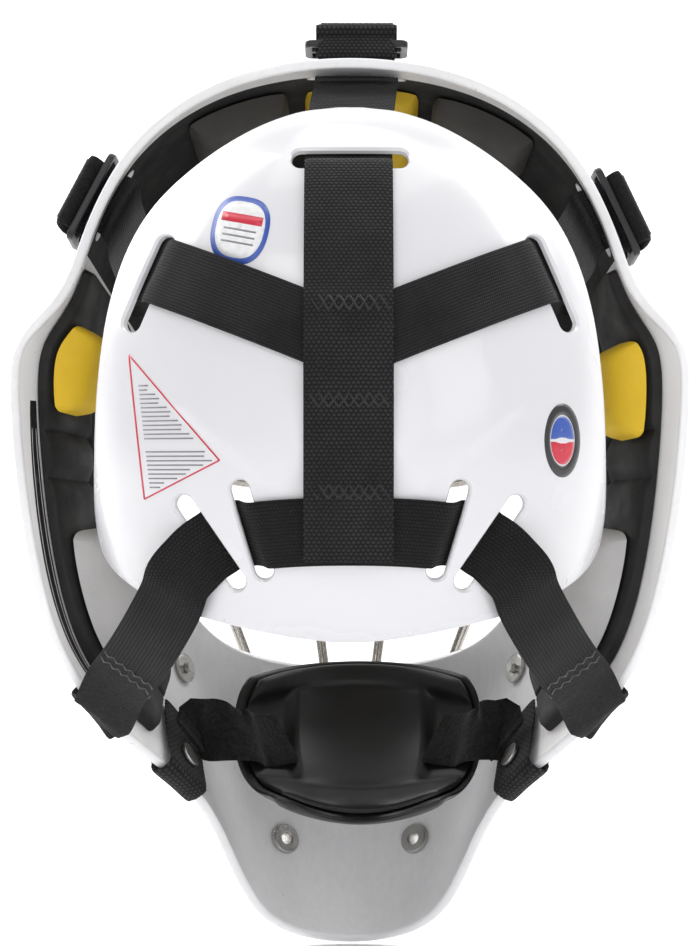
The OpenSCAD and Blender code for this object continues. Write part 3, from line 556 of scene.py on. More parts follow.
def m_moulded(name, base=(0.005, 0.0049, 0.005), rough=(0.3, 0.46), grain=1500.0, depth=0.03):
    """Moulded black: satin skin, fine grain, soft flow marks and fingerprints."""
    g = Graph(name, Coat_Weight=0.05, Coat_Roughness=0.4, Specular_IOR_Level=0.3)
    o = g.obj()
    grn = g.noise(o, grain, 3, 0.6)
    flow = g.noise(g.scaled(o, (0.6, 1, 1)), 36, 4, 0.6, 0.8)
    col = g.mix(g.span(flow, 0.3, 0.7, 0, 1), base, tuple(c * 1.9 for c in base))
    col = g.mix(g.span(g.cells(o, 210), 0.015, 0.04, 0.35, 0), col, (0.2, 0.2, 0.2))
    g.set("Base Color", col)
    g.set("Roughness", g.span(flow, 0.25, 0.75, *rough))
    n = g.bump(flow, 0.3, 0.3)
    g.set("Normal", g.bump(grn, depth, 0.8, n))
    return g.m


def m_steel(name, base=(0.50, 0.475, 0.44), rough=(0.16, 0.34), drawn=True):
    """Drawn and polished wire or turned hardware: fine lines, faint heat tint, handling marks."""
    g = Graph(name, Metallic=1.0)
    o = g.obj()
    lines = g.noise(g.scaled(o, (1, 1, 0.12) if drawn else (1, 1, 1)), 1800, 3, 0.6)
    blot = g.noise(o, 55, 3)
    col = g.mix(g.span(blot, 0.35, 0.7, 0, 1), base, tuple(c * 0.72 for c in base))
    g.set("Base Color", g.mix(g.span(lines, 0.55, 0.8, 0, 0.22), col, tuple(c * 0.6 for c in base)))
    g.set("Roughness", g.span(g.math("ADD", lines, g.math("MULTIPLY", blot, 0.5)), 0.5, 1.0, *rough))
    g.set("Normal", g.bump(lines, 0.012, 0.6))
    return g.m


def m_thread(name, base=(0.007, 0.007, 0.0075)):
    g = Graph(name, Sheen_Weight=0.3, Sheen_Roughness=0.4)
    o = g.obj()
    tw = g.noise(o, 2600, 2, 0.6, 1.0)
    g.set("Base Color", g.mix(g.span(tw, 0.35, 0.65, 0, 1), base, tuple(c * 2.4 for c in base)))
    g.set("Roughness", g.span(tw, 0.3, 0.7, 0.8, 0.6))
    g.set("Normal", g.bump(tw, 0.06, 0.9))
    return g.m


def m_print(name, base, rough=0.35):
    """Printed vinyl or ink, faintly mottled."""
    g = Graph(name, Coat_Weight=0.3, Coat_Roughness=0.15)
    o = g.obj()
    f = g.noise(o, 500, 3)
    g.set("Base Color", g.mix(g.span(f, 0.3, 0.7, 0, 1), base, tuple(c * 0.86 for c in base)))
    g.set("Roughness", g.span(g.noise(o, 120, 3), 0.3, 0.7, rough, rough + 0.15))
    g.set("Normal", g.bump(f, 0.01, 0.5))
    return g.m


M = {}
M["white"] = m_white("white_gloss_paint", (0.84, 0.84, 0.855), (0.815, 0.815, 0.83))
# Painted shade: the plate has the same white paint as the shell, given a darker colour so it reads less bright
M["plate"] = m_white("white_plate_gloss_painted_shade", (0.695, 0.691, 0.717), (0.688, 0.685, 0.71))
M["inner"] = m_inner("shell_inside")
# The inside of the crown, between the rim and the pads, is coloured near-black
M["lining"] = m_foam("crown_lining", (0.011, 0.011, 0.011), (0.007, 0.007, 0.007), 0.75)
M["web"] = m_web("black_webbing_weave")
M["jawweb"] = m_web("jaw_webbing_weave", row=1.5, col_w=2.2, depth=0.35)
M["elastic"] = m_elastic("black_elastic_rib")
M["elastic2"] = m_elastic("lower_elastic_rib", (0.0028, 0.0028, 0.003), (0.0155, 0.0155, 0.0165), rib=1.3, pick=1.25, slant=0.5, depth=0.34)
M["tab"] = m_tab("hook_tab")
M["loop"] = m_tab("loop_pile", (0.004, 0.004, 0.004), (0.022, 0.021, 0.021), 0.6, 620.0, 0.12)
M["yellow"] = m_foam("yellow_foam", (0.84, 0.56, 0.028), (0.76, 0.49, 0.02), 0.48, 2200.0, 0.08)
M["black_foam"] = m_foam("black_foam", (0.012, 0.0118, 0.0115), (0.008, 0.008, 0.0078), 0.6)
M["grey_foam"] = m_foam("grey_foam", (0.56, 0.55, 0.55), (0.48, 0.475, 0.475), 0.6, 1700.0, 0.12)
# Painted shade: the crown pads are the same grey foam as the jaw pads, coloured far darker for the shade inside the
# crown
M["brown_foam"] = m_foam("grey_foam_painted_shade", (0.085, 0.081, 0.076), (0.062, 0.059, 0.055), 0.6, 1700.0, 0.12)
M["cup"] = m_moulded("cup_moulding")
M["plastic"] = m_moulded("buckle_plastic", (0.016, 0.016, 0.017), (0.32, 0.5), 900.0, 0.05)
M["cage"] = m_steel("cage_wire")
M["hardware"] = m_steel("hardware_steel", (0.55, 0.54, 0.52), (0.22, 0.42), drawn=False)
M["thread"] = m_thread("black_thread")
M["sweat"] = m_tab("sweatband_terry", (0.10, 0.10, 0.10), (0.22, 0.22, 0.22), 0.5, 700.0, 0.1)
M["p_white"] = m_print("print_white", (0.80, 0.80, 0.81))
M["p_blue"] = m_print("print_blue", (0.03, 0.09, 0.42))
M["p_red"] = m_print("print_red", (0.62, 0.02, 0.05))
M["p_black"] = m_print("print_black", (0.015, 0.015, 0.017))
M["p_grey"] = m_print("print_grey", (0.22, 0.22, 0.24))
M["zig"] = m_thread("grey_thread", (0.045, 0.045, 0.048))
M["cup_pad"] = m_moulded("cup_cushion_skin", (0.0055, 0.0054, 0.0055), (0.38, 0.54), 1700.0, 0.05)

# ------------------------------------------------------------------ outer shell
CLIPS = [c for a in [(1.3, 1.7), (1.5, 10.6), (1.5, 15.4)] for c in (a, (a[0], NV - a[1]))]
CROWN, RIGHT, LEFT = (5.45, 0.0), (4.95, 4.4), (4.95, NV - 4.1)
EYELETS = [(3.3, 18.6), (3.3, NV - 18.6)]
JAW_V, LOWER_V = 15.6, 14.1
SNAPS = [(5.25, w) for v in (JAW_V, LOWER_V) for w in (v, NV - v)]


def stadium(l, w, grow, n=14):
    """Outline of a slot with round ends, l long and w wide, grown by grow."""
    r, h = w / 2 + grow, (l - w) / 2
    t = np.linspace(-np.pi / 2, np.pi / 2, n)
    a = np.stack([h + r * np.cos(t), r * np.sin(t)], -1)
    top = np.stack([np.linspace(h, -h, 8)[1:-1], np.full(6, r)], -1)
    return np.concatenate([a, top, -a, -top]) if h > 0.01 else np.concatenate([a[:-1], -a[:-1]])


def rounded(l, w, rad, grow, n=6):
    r = rad + grow
    hx, hy = l / 2 - rad, w / 2 - rad
    pts = []
    for cx, cy, a0 in ((hx, -hy, -90), (hx, hy, 0), (-hx, hy, 90), (-hx, -hy, 180)):
        for t in np.linspace(a0, a0 + 90, n):
            pts.append((cx + r * math.cos(math.radians(t)), cy + r * math.sin(math.radians(t))))
    return np.array(pts)


def hole(u, v, outline, lip=1.1, shift=(0, 0), t=SHELL_T):
    """Cutter for a hole whose edges roll over by lip on both sides."""
    lv = [(5.0, 1.15), (0.06, 1.1), (-0.1, 0.62), (-0.38, 0.26), (-0.9, 0.0)]
    steps = [(d, g * lip) for d, g in lv] + [(-t - d, g * lip) for d, g in lv[::-1]]
    rings = []
    for d, g in steps:
        a, b = locate(u, v, outline(g) + np.array(shift))
        rings.append(at(a, b, d))
    return loft(np.array(rings))


cuts = []
for c in CLIPS:
    cuts.append(hole(*c, lambda g: stadium(7, 7, g), 0.3))
for s, l, sh in ((CROWN, 37, -2.5), (RIGHT, 30, 0), (LEFT, 30, 0)):
    cuts.append(hole(*s, lambda g, l=l: rounded(l, 7, 2.6, g), 1.1, (sh, 0)))
for e in EYELETS:
    cuts.append(hole(*e, lambda g: stadium(9.4, 9.4, g), 0.25))
for e in SNAPS:
    cuts.append(hole(*e, lambda g: stadium(4.8, 4.8, g), 0.15))
for s in (1, -1):
    f = lambda v: v if s > 0 else NV - v
    cuts.append(hole(3.35, f(1.7), lambda g: stadium(26, 13, g)))
    cuts.append(hole(3.1, f(3.3), lambda g: stadium(24, 13, g)))
    cuts.append(hole(2.35, f(16.6), lambda g: stadium(20, 9, g)))
    cuts.append(hole(1.6, NV / 2 + s * 0.35, lambda g: stadium(8, 6, g), 0.8))
    cuts.append(hole(1.6, NV / 2 + s * 1.1, lambda g: stadium(8, 6, g), 0.8))

MV, MU = 320, 60
vv = np.arange(MV) * NV / MV
uu = np.linspace(0, 6, MU + 1)
uu = uu + 0.0


def relief(u, v):
    """Moulded lines of the outside: a raised band round the face opening, brow ribs and cheek planes."""
    w = np.minimum(np.mod(v, NV), NV - np.mod(v, NV))
    d = 0.25 * (1 - sstep(0.95, 1.12, u)) * sstep(0.0, 0.1, u)
    rib = np.exp(-((w - 0.55 - 0.12 * (u - 2)) / 0.16) ** 2) * sstep(1.6, 2.2, u) * (1 - sstep(4.4, 5.0, u))
    jaw = 0.8 * np.exp(-((w - 17.6 + 0.25 * (u - 2)) / 0.2) ** 2) * sstep(1.3, 2.0, u) * (1 - sstep(4.8, 5.6, u))
    cheek = 0.7 * np.exp(-((w - 12.9 + 0.35 * (u - 2)) / 0.25) ** 2) * sstep(1.4, 2.1, u) * (1 - sstep(3.9, 4.7, u))
    return d + 0.8 * rib + jaw + cheek


U, VV = np.meshgrid(uu, vv)
outer = at(U, VV, relief(U, VV))
inner = at(U[:, ::-1], VV[:, ::-1], np.full(U.shape, -SHELL_T))
inner = at(U, VV, -SHELL_T)


def nose(u, v, sgn, n=7):
    """Trimmed edge: nearly flat face with small rounded corners."""
    p, N, G = surf(u, v), nrm(u, v), su(u, v) * sgn
    rows = []
    for ph in np.linspace(0, np.pi, n + 2)[1:-1]:
        c, s = math.cos(ph), math.sin(ph)
        a = math.copysign(abs(c) ** 0.55, c) * SHELL_T / 2
        rows.append(p + N * (a - SHELL_T / 2) + G * 1.6 * s ** 0.55)
    return np.stack(rows, 1)


n6 = nose(6.0, vv, 1)
n0 = nose(0.0, vv, -1)[:, ::-1]
ring = np.concatenate([outer, n6, inner[:, ::-1], n0], 1)
sv_, sf_ = loft(ring, loop=True)
nr = ring.shape[1]
kind = np.array([0] * (MU + 1) + [0] * n6.shape[1] + [1] * (MU + 1) + [0] * n0.shape[1])
sidx = []
for f in sf_:
    j = [k % nr for k in f]
    i = [k // nr for k in f]
    inside = all(MU + n6.shape[1] < q < nr - n0.shape[1] + 1 for q in j)
    m = 0
    if inside:
        m = 1
        uq = uu[(nr - n0.shape[1] - 1) - min(j)] if True else 0
        w = min(i) * NV / MV
        w = min(w, NV - w)
        # Inside faces of the crown, v within 5.3 of the centre and u from 1.4 to 5.55, get the near-black colour
        if w < 5.3 and 1.4 < uq < 5.55:
            m = 2
    sidx.append(m)
shell = mesh_object("outer_shell", sv_, sf_, [M["white"], M["inner"], M["lining"]], sidx, sharp=0)
cv, cf, _ = join(cuts)
cutter = mesh_object("tmp_cutter", cv, cf, [M["white"]], sharp=0)
mod = shell.modifiers.new("holes", "BOOLEAN")
mod.operation = "DIFFERENCE"
mod.object = cutter
mod.solver = "MANIFOLD"
settle(shell)
bpy.data.objects.remove(cutter)

# Wear mask (x) and painted shade of the shell's inside (y: 1 near the rear rim, 0 deeper in and at the chin), from the
# nearest grid point
kd = KDTree(MV * (MU + 1) * 2)
gu = np.concatenate([U.ravel(), U.ravel()])
gv = np.concatenate([VV.ravel(), VV.ravel()])
gp = np.concatenate([outer.reshape(-1, 3), inner.reshape(-1, 3)]) * 0.001
for i, p in enumerate(gp):
    kd.insert(p, i)
kd.balance()
me = shell.data
wear_and_inner_shade = np.zeros((len(me.vertices), 3), np.float32)
near = np.zeros(len(me.vertices), int)
for i, vt in enumerate(me.vertices):
    _, k, _ = kd.find(vt.co)
    near[i] = k
    u = gu[k]
    w = min(gv[k], NV - gv[k])
    # y: painted shade for the shell's inside, 1 near the rear rim falling to 0 deeper in and at the chin
    wear_and_inner_shade[i] = (max(sstep(5.55, 5.98, u), 0.5 * (1 - sstep(0.02, 0.2, u))), sstep(4.9, 5.5, u) * (1 - sstep(15.2, 16.6, w)), 0)
a = me.attributes.new("wear_and_inner_shade", "FLOAT_VECTOR", "POINT")
a.data.foreach_set("vector", wear_and_inner_shade.ravel())
me.polygons.foreach_set("use_smooth", np.ones(len(me.polygons), bool))
me.set_sharp_from_angle(angle=math.radians(32))
place(shell, "mask", ["shell"])

# ------------------------------------------------------------------ cage
YA = np.array([[-98, 139], [-80, 147], [-57, 153], [-28, 157], [0, 158], [25, 154], [42, 146], [58, 132]], float)


def rim(v):
    return at(0.72, v, RIM_D / 2 + 0.4)


def vz(z):
    a, b = 2.0, 20.0
    for _ in range(24):
        m = (a + b) / 2
        if rim(m)[2] > z:
            a = m
        else:
            b = m
    return (a + b) / 2


def cage_y(x, z, e):
    a = np.interp(z, YA[:, 0], YA[:, 1])
    return a - (a - e[1]) * min(1, abs(x) / e[0]) ** 2.5


def tube(path, d, sides=14, loop=False, cap=True, up=None):
    p = np.asarray(path, float)
    g = unit(np.roll(p, -1, 0) - np.roll(p, 1, 0)) if loop else unit(np.gradient(p, axis=0))
    ref = arr(0, 0, 1) if up is None else up
    a = np.cross(g, ref)
    bad = np.linalg.norm(a, axis=1) < 0.2
    a[bad] = np.cross(g[bad], arr(0, 1, 0))
    a = unit(a)
    b = np.cross(g, a)
    t = np.linspace(0, 2 * np.pi, sides, endpoint=False)
    r = np.full(len(p), d / 2)
    if not loop and cap:
        ends, er = [], []
        for k in (0.98, 0.82, 0.5):
            ends.append(k)
        q0 = [p[0] - g[0] * d / 2 * math.sqrt(1 - (1 - 0) * k * k) * 1.0 for k in (0.25, 0.7, 0.93)]
        q1 = [p[-1] + g[-1] * d / 2 * math.sqrt(1 - k * k) for k in (0.25, 0.7, 0.93)]
        p = np.concatenate([q0, p, q1[::-1]])
        rr = [d / 2 * k for k in (0.25, 0.7, 0.93)]
        r = np.concatenate([rr, r, rr[::-1]])
        a = np.concatenate([[a[0]] * 3, a, [a[-1]] * 3])
        b = np.concatenate([[b[0]] * 3, b, [b[-1]] * 3])
    rings = p[:, None] + r[:, None, None] * (a[:, None] * np.cos(t)[None, :, None] + b[:, None] * np.sin(t)[None, :, None])
    return loft(rings, loop)


def blob(c, r, squash=(1, 1, 1), n=10, seed=0):
    """Small weld bead."""
    th = np.linspace(0, np.pi, 8)
    ph = np.linspace(0, 2 * np.pi, n, endpoint=False)
    R = r * (1 + 0.08 * np.sin(3 * ph + seed))
    rings = [np.stack([R * math.sin(max(t, 0.05) if t < 3 else 3.09) * np.cos(ph) * squash[0], R * math.sin(max(t, 0.05) if t < 3 else 3.09) * np.sin(ph) * squash[1], np.full(n, r * math.cos(t) * squash[2])], -1) for t in th]
    return loft(np.array(rings) + c)


rv = np.arange(200) * NV / 200
rimline = np.stack([rim(v) for v in rv])
rt = unit(np.roll(rimline, -1, 0) - np.roll(rimline, 1, 0))
rb = nrm(0.72, rv)
ra = np.cross(rb, rt)
rc = np.cross(rt, ra)
tt = np.linspace(0, 2 * np.pi, 16, endpoint=False)
v, f = loft(rimline[:, None] + RIM_D / 2 * (ra[:, None] * np.cos(tt)[None, :, None] + rc[:, None] * np.sin(tt)[None, :, None]), loop=True)
place(mesh_object("cage_rim", v, f, [M["cage"]], sharp=60), "mask", ["cage_rim_wire"])

hor = []
for z in (-28, -57):
    e = rim(vz(z))
    hor.append(np.array([[x, cage_y(x, z, e), z] for x in e[0] * np.sin(np.radians(np.linspace(-90, 90, 61)))]))
for q in ([[0, 12], [0.1, 8.5], [0.27, -1], [0.5, -4], [0.76, 5], [1, 22]], [[0, 33], [0.11, 34], [0.3, 41], [0.52, 46], [0.76, 45], [1, 37]]):
    h = cr_dense(np.array(q, float), 8)
    half = []
    for fshare, z in h:
        e = rim(vz(z))
        half.append([fshare * e[0], cage_y(fshare * e[0], z, e), z])
    half = np.array(half)
    hor.append(np.concatenate([half[:0:-1] * [-1, 1, 1], half]))


def ordered(p):
    """Drops points closer than 0.6 mm to the one before, so a tube has no crushed rings."""
    out = [p[0]]
    for q in p[1:-1]:
        if np.linalg.norm(q - out[-1]) > 0.6:
            out.append(q)
    return np.array(out + [p[-1]])


hor = [ordered(p) for p in hor]
ver = []
for s in (-1, 1):
    for x0, x1, z0, z1, n in ((22, 9, 2, -95.6, 40), (63, 38, -25, -90, 30), (19, 19, 36, 59.8, 14)):
        pts = []
        for t in np.linspace(0, 1, n):
            x, z = s * lerp(x0, x1, t), lerp(z0, z1, t)
            pts.append([x, cage_y(x, z, rim(vz(z))) + 0.3 - BAR_D, z])
        ver.append(np.array(pts))
hv, hf, _ = join([tube(p, BAR_D, 14) for p in hor])
place(mesh_object("cage_cross_bars", hv, hf, [M["cage"]], sharp=60), "mask", ["cage_horizontal_bars"])
vv_, vf_, _ = join([tube(p, BAR_D, 14, up=arr(1, 0, 0)) for p in ver])
place(mesh_object("cage_upright_bars", vv_, vf_, [M["cage"]], sharp=60), "mask", ["cage_vertical_bars"])
beads = []
for a in ver:
    for b in hor + [rimline]:
        d = np.linalg.norm(a[:, None] - b[None], axis=2)
        i, j = np.unravel_index(d.argmin(), d.shape)
        if d[i, j] < 6.2:
            beads.append(blob((a[i] + b[j]) / 2, 2.5, (1.25, 0.75, 1.0), seed=i))
for b in hor:
    for e in (b[0], b[-1]):
        d = np.linalg.norm(rimline - e, axis=1)
        beads.append(blob((e + rimline[d.argmin()]) / 2, 2.7, (0.9, 1.0, 1.1), seed=d.argmin()))
bv, bf, _ = join(beads)
place(mesh_object("cage_welds", bv, bf, [M["hardware"]], sharp=60), "mask")

# ------------------------------------------------------------------ CAD hardware: softened edges and real metal
def finish_cad(node, mat, width=0.35, angle=32):
    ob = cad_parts[node]
    w = ob.modifiers.new("weld", "WELD")
    w.merge_threshold = 0.00001
    b = ob.modifiers.new("edges", "BEVEL")
    b.width = width * 0.001
    b.segments = 2
    b.limit_method = "ANGLE"
    b.angle_limit = math.radians(angle)
    b.use_clamp_overlap = True
    ob.data.materials.clear()
    ob.data.materials.append(mat)
    for s in ob.material_slots:
        s.material = mat


finish_cad("cage_screws", M["hardware"], 0.3)
finish_cad("cage_tee_nuts", M["hardware"], 0.25)
finish_cad("throat_guard_eyelets", M["hardware"], 0.4)
finish_cad("strap_snaps", M["hardware"], 0.35)
finish_cad("cage_clips", M["plastic"], 0.7)
# ------------------------------------------------------------------ back plate surface
PA, PB, PC, PZ, PE = 104.0, 122.0, 125.0, 20.0, 2.2


def dome(x, z, g=0.0):
    x, z, g = np.broadcast_arrays(np.asarray(x, float), np.asarray(z, float), np.asarray(g, float))
    q = np.maximum(0, 1 - (np.abs(x) / PA) ** PE - (np.abs(z - PZ) / PC) ** PE)
    y = -PB * q ** (1 / PE)
    return np.stack([x, y, z], -1) + g[..., None] * dome_n(x, z)


def dome_n(x, z):
    x, z = np.broadcast_arrays(np.asarray(x, float), np.asarray(z, float))
    q = np.maximum(0, 1 - (np.abs(x) / PA) ** PE - (np.abs(z - PZ) / PC) ** PE)
    y = -PB * q ** (1 / PE)
    return unit(np.stack([np.sign(x) * (np.abs(x) / PA) ** (PE - 1) / PA, -(np.abs(y) / PB) ** (PE - 1) / PB,
                          np.sign(z - PZ) * (np.abs(z - PZ) / PC) ** (PE - 1) / PC], -1))


EDGE = np.array([[135.5, 7], [133.5, 20], [126.5, 37], [114.5, 55.5], [99.5, 72], [82.5, 82.5], [60, 89.5], [34, 93.2], [8, 94.8],
                 [-18, 95], [-33, 90.5], [-44, 76], [-52, 53], [-58, 25], [-60.2, 8]], float)
ed = cr_dense(EDGE, 8)
right = ed[:, ::-1]
topline = np.stack([np.linspace(-7, 7, 7)[1:-1], np.full(5, 135.8)], -1)
lowline = np.stack([np.linspace(8, -8, 7)[1:-1], np.full(5, -60.4)], -1)
outline = np.concatenate([right, lowline, right[::-1] * [-1, 1], topline])
PC0 = arr(0, 40)


def plate_relief(x, z):
    """A pressed crease low on each side of the plate."""
    ax = np.abs(x)
    t = ((ax - 28) * 37 + (z + 6) * 32) / 48.9
    d = (-(ax - 28) * 32 + (z + 6) * 37) / 48.9
    return 1.0 * sstep(-1.4, 1.4, d) * sstep(-8, 2, t) * (1 - sstep(42, 54, t)) * (1 - sstep(10, 34, d))


rs = np.concatenate([np.linspace(0.015, 0.9, 48), np.linspace(0.915, 0.985, 5), [0.993, 1.0]])
xz = PC0 + rs[:, None, None] * (outline - PC0)[None]
X_, Z_ = xz[..., 0], xz[..., 1]
border = np.repeat(rs[:, None], len(outline), 1)
top_ = dome(X_, Z_, plate_relief(X_, Z_))
bot_ = dome(X_, Z_, -PLATE_T)
g_out = unit(np.stack([outline[:, 0] - 0, np.zeros(len(outline)), outline[:, 1] - PC0[1]], -1))
n_out = dome_n(outline[:, 0], outline[:, 1])
g_out = unit(g_out - np.sum(g_out * n_out, 1, keepdims=True) * n_out)
lip = []
for ph in np.linspace(0, np.pi, 9)[1:-1]:
    c, s = math.cos(ph), math.sin(ph)
    lip.append(dome(outline[:, 0], outline[:, 1], -PLATE_T / 2 + PLATE_T / 2 * math.copysign(abs(c) ** 0.7, c)) + g_out * 1.3 * s ** 0.7)
rings_ = np.concatenate([top_, np.array(lip), bot_[::-1]])
pv, pf = loft(rings_)
plate = mesh_object("plate_skin", pv, pf, [M["plate"]], sharp=0)


def plate_hole(a, b, wide, grow=1.0):
    a, b = np.array(a, float), np.array(b, float)
    m, d = (a + b) / 2, b - a
    l = np.linalg.norm(d)
    d = d / l
    lv = [(5.0, 1.15), (0.06, 1.1), (-0.1, 0.62), (-0.38, 0.26), (-0.8, 0.0)]
    steps = [(h + (1.1 if h > 0.05 else 0), g * grow) for h, g in lv[:2]] + [(h, g * grow) for h, g in lv[2:]]
    steps += [(-PLATE_T - h, g * grow) for h, g in lv[::-1]]
    rr = []
    for h, g in steps:
        o = stadium(l + wide, wide, g)
        q = m + o[:, :1] * d + o[:, 1:] * np.array([-d[1], d[0]])
        rr.append(dome(q[:, 0], q[:, 1], h))
    return loft(np.array(rr))


pc = [plate_hole((-18, 114.5), (18, 114.5), 7)]
for s in (1, -1):
    pc.append(plate_hole((s * 67.5, 83.5), (s * 80, 55), 7))
    pc.append(plate_hole((s * 39.5, -6), (s * 31, -35), 7))
    pc.append(plate_hole((s * 60, -11.5), (s * 41, -39), 7))
cv, cf, _ = join(pc)
cutter = mesh_object("tmp_cutter2", cv, cf, [M["white"]], sharp=0)
mod = plate.modifiers.new("slots", "BOOLEAN")
mod.operation = "DIFFERENCE"
mod.object = cutter
mod.solver = "MANIFOLD"
settle(plate)
bpy.data.objects.remove(cutter)
co = np.array([tuple(v.co) for v in plate.data.vertices]) * 1000
rel = np.hypot(co[:, 0], co[:, 2] - PC0[1])
ang = np.arctan2(co[:, 0], co[:, 2] - PC0[1])
oa = np.arctan2(outline[:, 0], outline[:, 1] - PC0[1])
orr = np.hypot(outline[:, 0], outline[:, 1] - PC0[1])
k = np.argsort(oa)
share = rel / np.interp(ang, oa[k], orr[k], period=2 * np.pi)
wr = np.stack([0.9 * sstep(0.95, 1.0, share), np.zeros(len(co)), np.zeros(len(co))], -1)
a_ = plate.data.attributes.new("wear_and_inner_shade", "FLOAT_VECTOR", "POINT")
a_.data.foreach_set("vector", wr.astype(np.float32).ravel())
plate.data.polygons.foreach_set("use_smooth", np.ones(len(plate.data.polygons), bool))
plate.data.set_sharp_from_angle(angle=math.radians(35))
place(plate, "back_plate_group", ["back_plate"])


# ------------------------------------------------------------------ foam
def prof(x, p=6.0, q=2.4):
    return np.maximum(0, 1 - np.abs(x) ** p) ** (1 / q)


def spaced(n):
    return np.sin(np.linspace(-1, 1, n + 1) * np.pi / 2)


def cushion(name, low, high, n, mat, node, slot_name, fill, body="mask", base=0.3, corner=0.07, dome_up=0.06, extra=None, mats=None):
    """Pad from its base to its face: low(A, B) and high(A, B) give points for A and B from -1 to 1.
    The sides rise straight, the shoulders round over and the middle is slightly crowned."""
    A, B = np.meshgrid(spaced(n[0]), spaced(n[1]), indexing="ij")
    A2, B2 = A * (1 - corner * np.abs(B) ** 6), B * (1 - corner * np.abs(A) ** 6)
    lo, hi = low(A2, B2), high(A2, B2)
    h = (base + (1 - base) * prof(A) * prof(B)) * (1 - dome_up + dome_up * (1 - A * A) * (1 - B * B))
    if extra is not None:
        h = h * extra(A2, B2)
    top = lo + (hi - lo) * h[..., None]
    v, f = slab(top, lo)
    ob = mesh_object(name, v, f, [mat] if mats is None else mats, sharp=48)
    return place(ob, body, [node] if node else ())


def shell_pad(name, u0, u1, v0, v1, gap, t0, t1, eu, ev, n, mat, node, slot_name, fill, **kw):
    def point(A, B, t, e):
        u = lerp(u0, u1, (A + 1) / 2) - A * eu * e
        v = lerp(v0, v1, (B + 1) / 2) - B * ev * e
        p = at(u, v, -SHELL_T - gap)
        return p + t * inward(p)
    return cushion(name, lambda A, B: point(A, B, t0, 0), lambda A, B: point(A, B, t1, 0.7), n, mat, node, slot_name, fill, **kw)


shell_pad("forehead_cushion", 1.95, 3.0, -5, 5, 0.8, 0, BROW_T, 0.15, 0.25, (22, 64), M["black_foam"], "forehead_foam", "black_foam", 0.8)
shell_pad("brow_sweatband", 2.15, 2.7, -4.3, 4.3, 0.8, BROW_T + 0.9, BROW_T + 4.3, 0.08, 0.15, (14, 60), M["sweat"], "sweatband", "sweat_fabric", 0.6)
shell_pad("crown_yellow_pad", 3.15, 5.0, -0.62, 0.95, 0.8, 0, 9, 0.08, 0.12, (40, 26), M["yellow"], "crown_centre_pad", "yellow_foam", 0.85)
# Crown side pads: grey foam with painted shade, the darker copy of the grey foam
shell_pad("crown_pad_left", 3.75, 5.05, -2.35, -0.85, 1, 0, 11, 0.1, 0.15, (30, 30), M["brown_foam"], "crown_left_pad", "grey_foam", 0.85)
shell_pad("crown_pad_right", 3.75, 5.05, 1.15, 2.75, 1, 0, 11, 0.1, 0.15, (30, 30), M["brown_foam"], "crown_right_pad", "grey_foam", 0.85)
for s, side in ((1, "right"), (-1, "left")):
    f_ = (lambda v: v) if s > 0 else (lambda v: NV - v)
    snap_p = surf(5.25, f_(LOWER_V))

    def liner_pt(A, B, t, e, s=s):
        u = lerp(2.1, 5.3, (A + 1) / 2) - A * e
        v = lerp(5.5, 15.05, (B + 1) / 2) - B * e
        return at(u, v if s > 0 else NV - v, -SHELL_T - t)

    def liner_shape(A, B, s=s, snap_p=snap_p):
        u, v = lerp(2.1, 5.3, (A + 1) / 2), lerp(5.5, 15.05, (B + 1) / 2)
        d = np.linalg.norm(surf(u, v if s > 0 else NV - v) - snap_p, axis=-1)
        groove = np.exp(-((v - 10.2) / 0.09) ** 2) + np.exp(-((v - 10.85) / 0.09) ** 2)
        seam = np.exp(-((u - 3.4 - 0.05 * (v - 10)) / 0.05) ** 2)
        return (1 - 0.55 * np.minimum(1, groove)) * (1 - 0.3 * seam) * (0.07 + 0.93 * sstep(7.0, 8.6, d))

    cushion(side + "_wall_liner", lambda A, B: liner_pt(A, B, 0.5, 0), lambda A, B: liner_pt(A, B, LINER_T, 0.05), (72, 150), M["black_foam"],
            side + "_side_liner", "black_foam", 0.7, base=0.55, corner=0.03, dome_up=0.03, extra=liner_shape)
shell_pad("right_temple_cushion", 3.9, 5.2, 7.9, 10.3, LINER_T + 0.8, 0, 12, 0.12, 0.25, (30, 34), M["yellow"], "right_temple_pad", "yellow_foam", 0.85)
shell_pad("left_temple_cushion", 3.9, 5.2, NV - 9.9, NV - 7.2, LINER_T + 0.8, 0, 12, 0.12, 0.25, (30, 34), M["yellow"], "left_temple_pad", "yellow_foam", 0.85)


def jaw_crease(A, B):
    return 1 - 0.35 * np.exp(-((A - 0.18) / 0.07) ** 2)


shell_pad("right_jaw_cushion", 2.7, 5.0, 11.6, 14.6, LINER_T + 0.8, 0, 15, 0.2, 0.3, (44, 40), M["grey_foam"], "right_jaw_pad", "grey_foam", 0.85, extra=jaw_crease)
shell_pad("left_jaw_cushion", 2.7, 5.0, NV - 14.6, NV - 11.6, LINER_T + 0.8, 0, 15, 0.2, 0.3, (44, 40), M["grey_foam"], "left_jaw_pad", "grey_foam", 0.85, extra=jaw_crease)


def plate_pad(name, rows, n, mat, node, slot_name):
    rows = np.array(rows, float)

    def pt(A, B, g, e):
        z = lerp(rows[0, 0], rows[-1, 0], (A + 1) / 2) - A * e
        w = np.interp(z, rows[:, 0], rows[:, 1]) - e
        return dome(B * w, z, g)

    cushion(name, lambda A, B: pt(A, B, -PLATE_T - 0.4, 0), lambda A, B: pt(A, B, -PLATE_T - PLATE_FOAM, 1.2), n, mat, node, slot_name, 0.85, body="back_plate_group", corner=0.04)


plate_pad("plate_middle_foam", [[4, 66], [58, 66]], (34, 60), M["black_foam"], "back_plate_foam", "black_foam")
plate_pad("plate_upper_foam", [[60, 66], [70, 60], [82, 55], [92, 48], [103, 36]], (30, 54), M["yellow"], "back_plate_upper_pad", "yellow_foam")
plate_pad("plate_lower_foam", [[-50, 24], [-2, 24]], (30, 30), M["black_foam"], "back_plate_lower_pad", "black_foam")


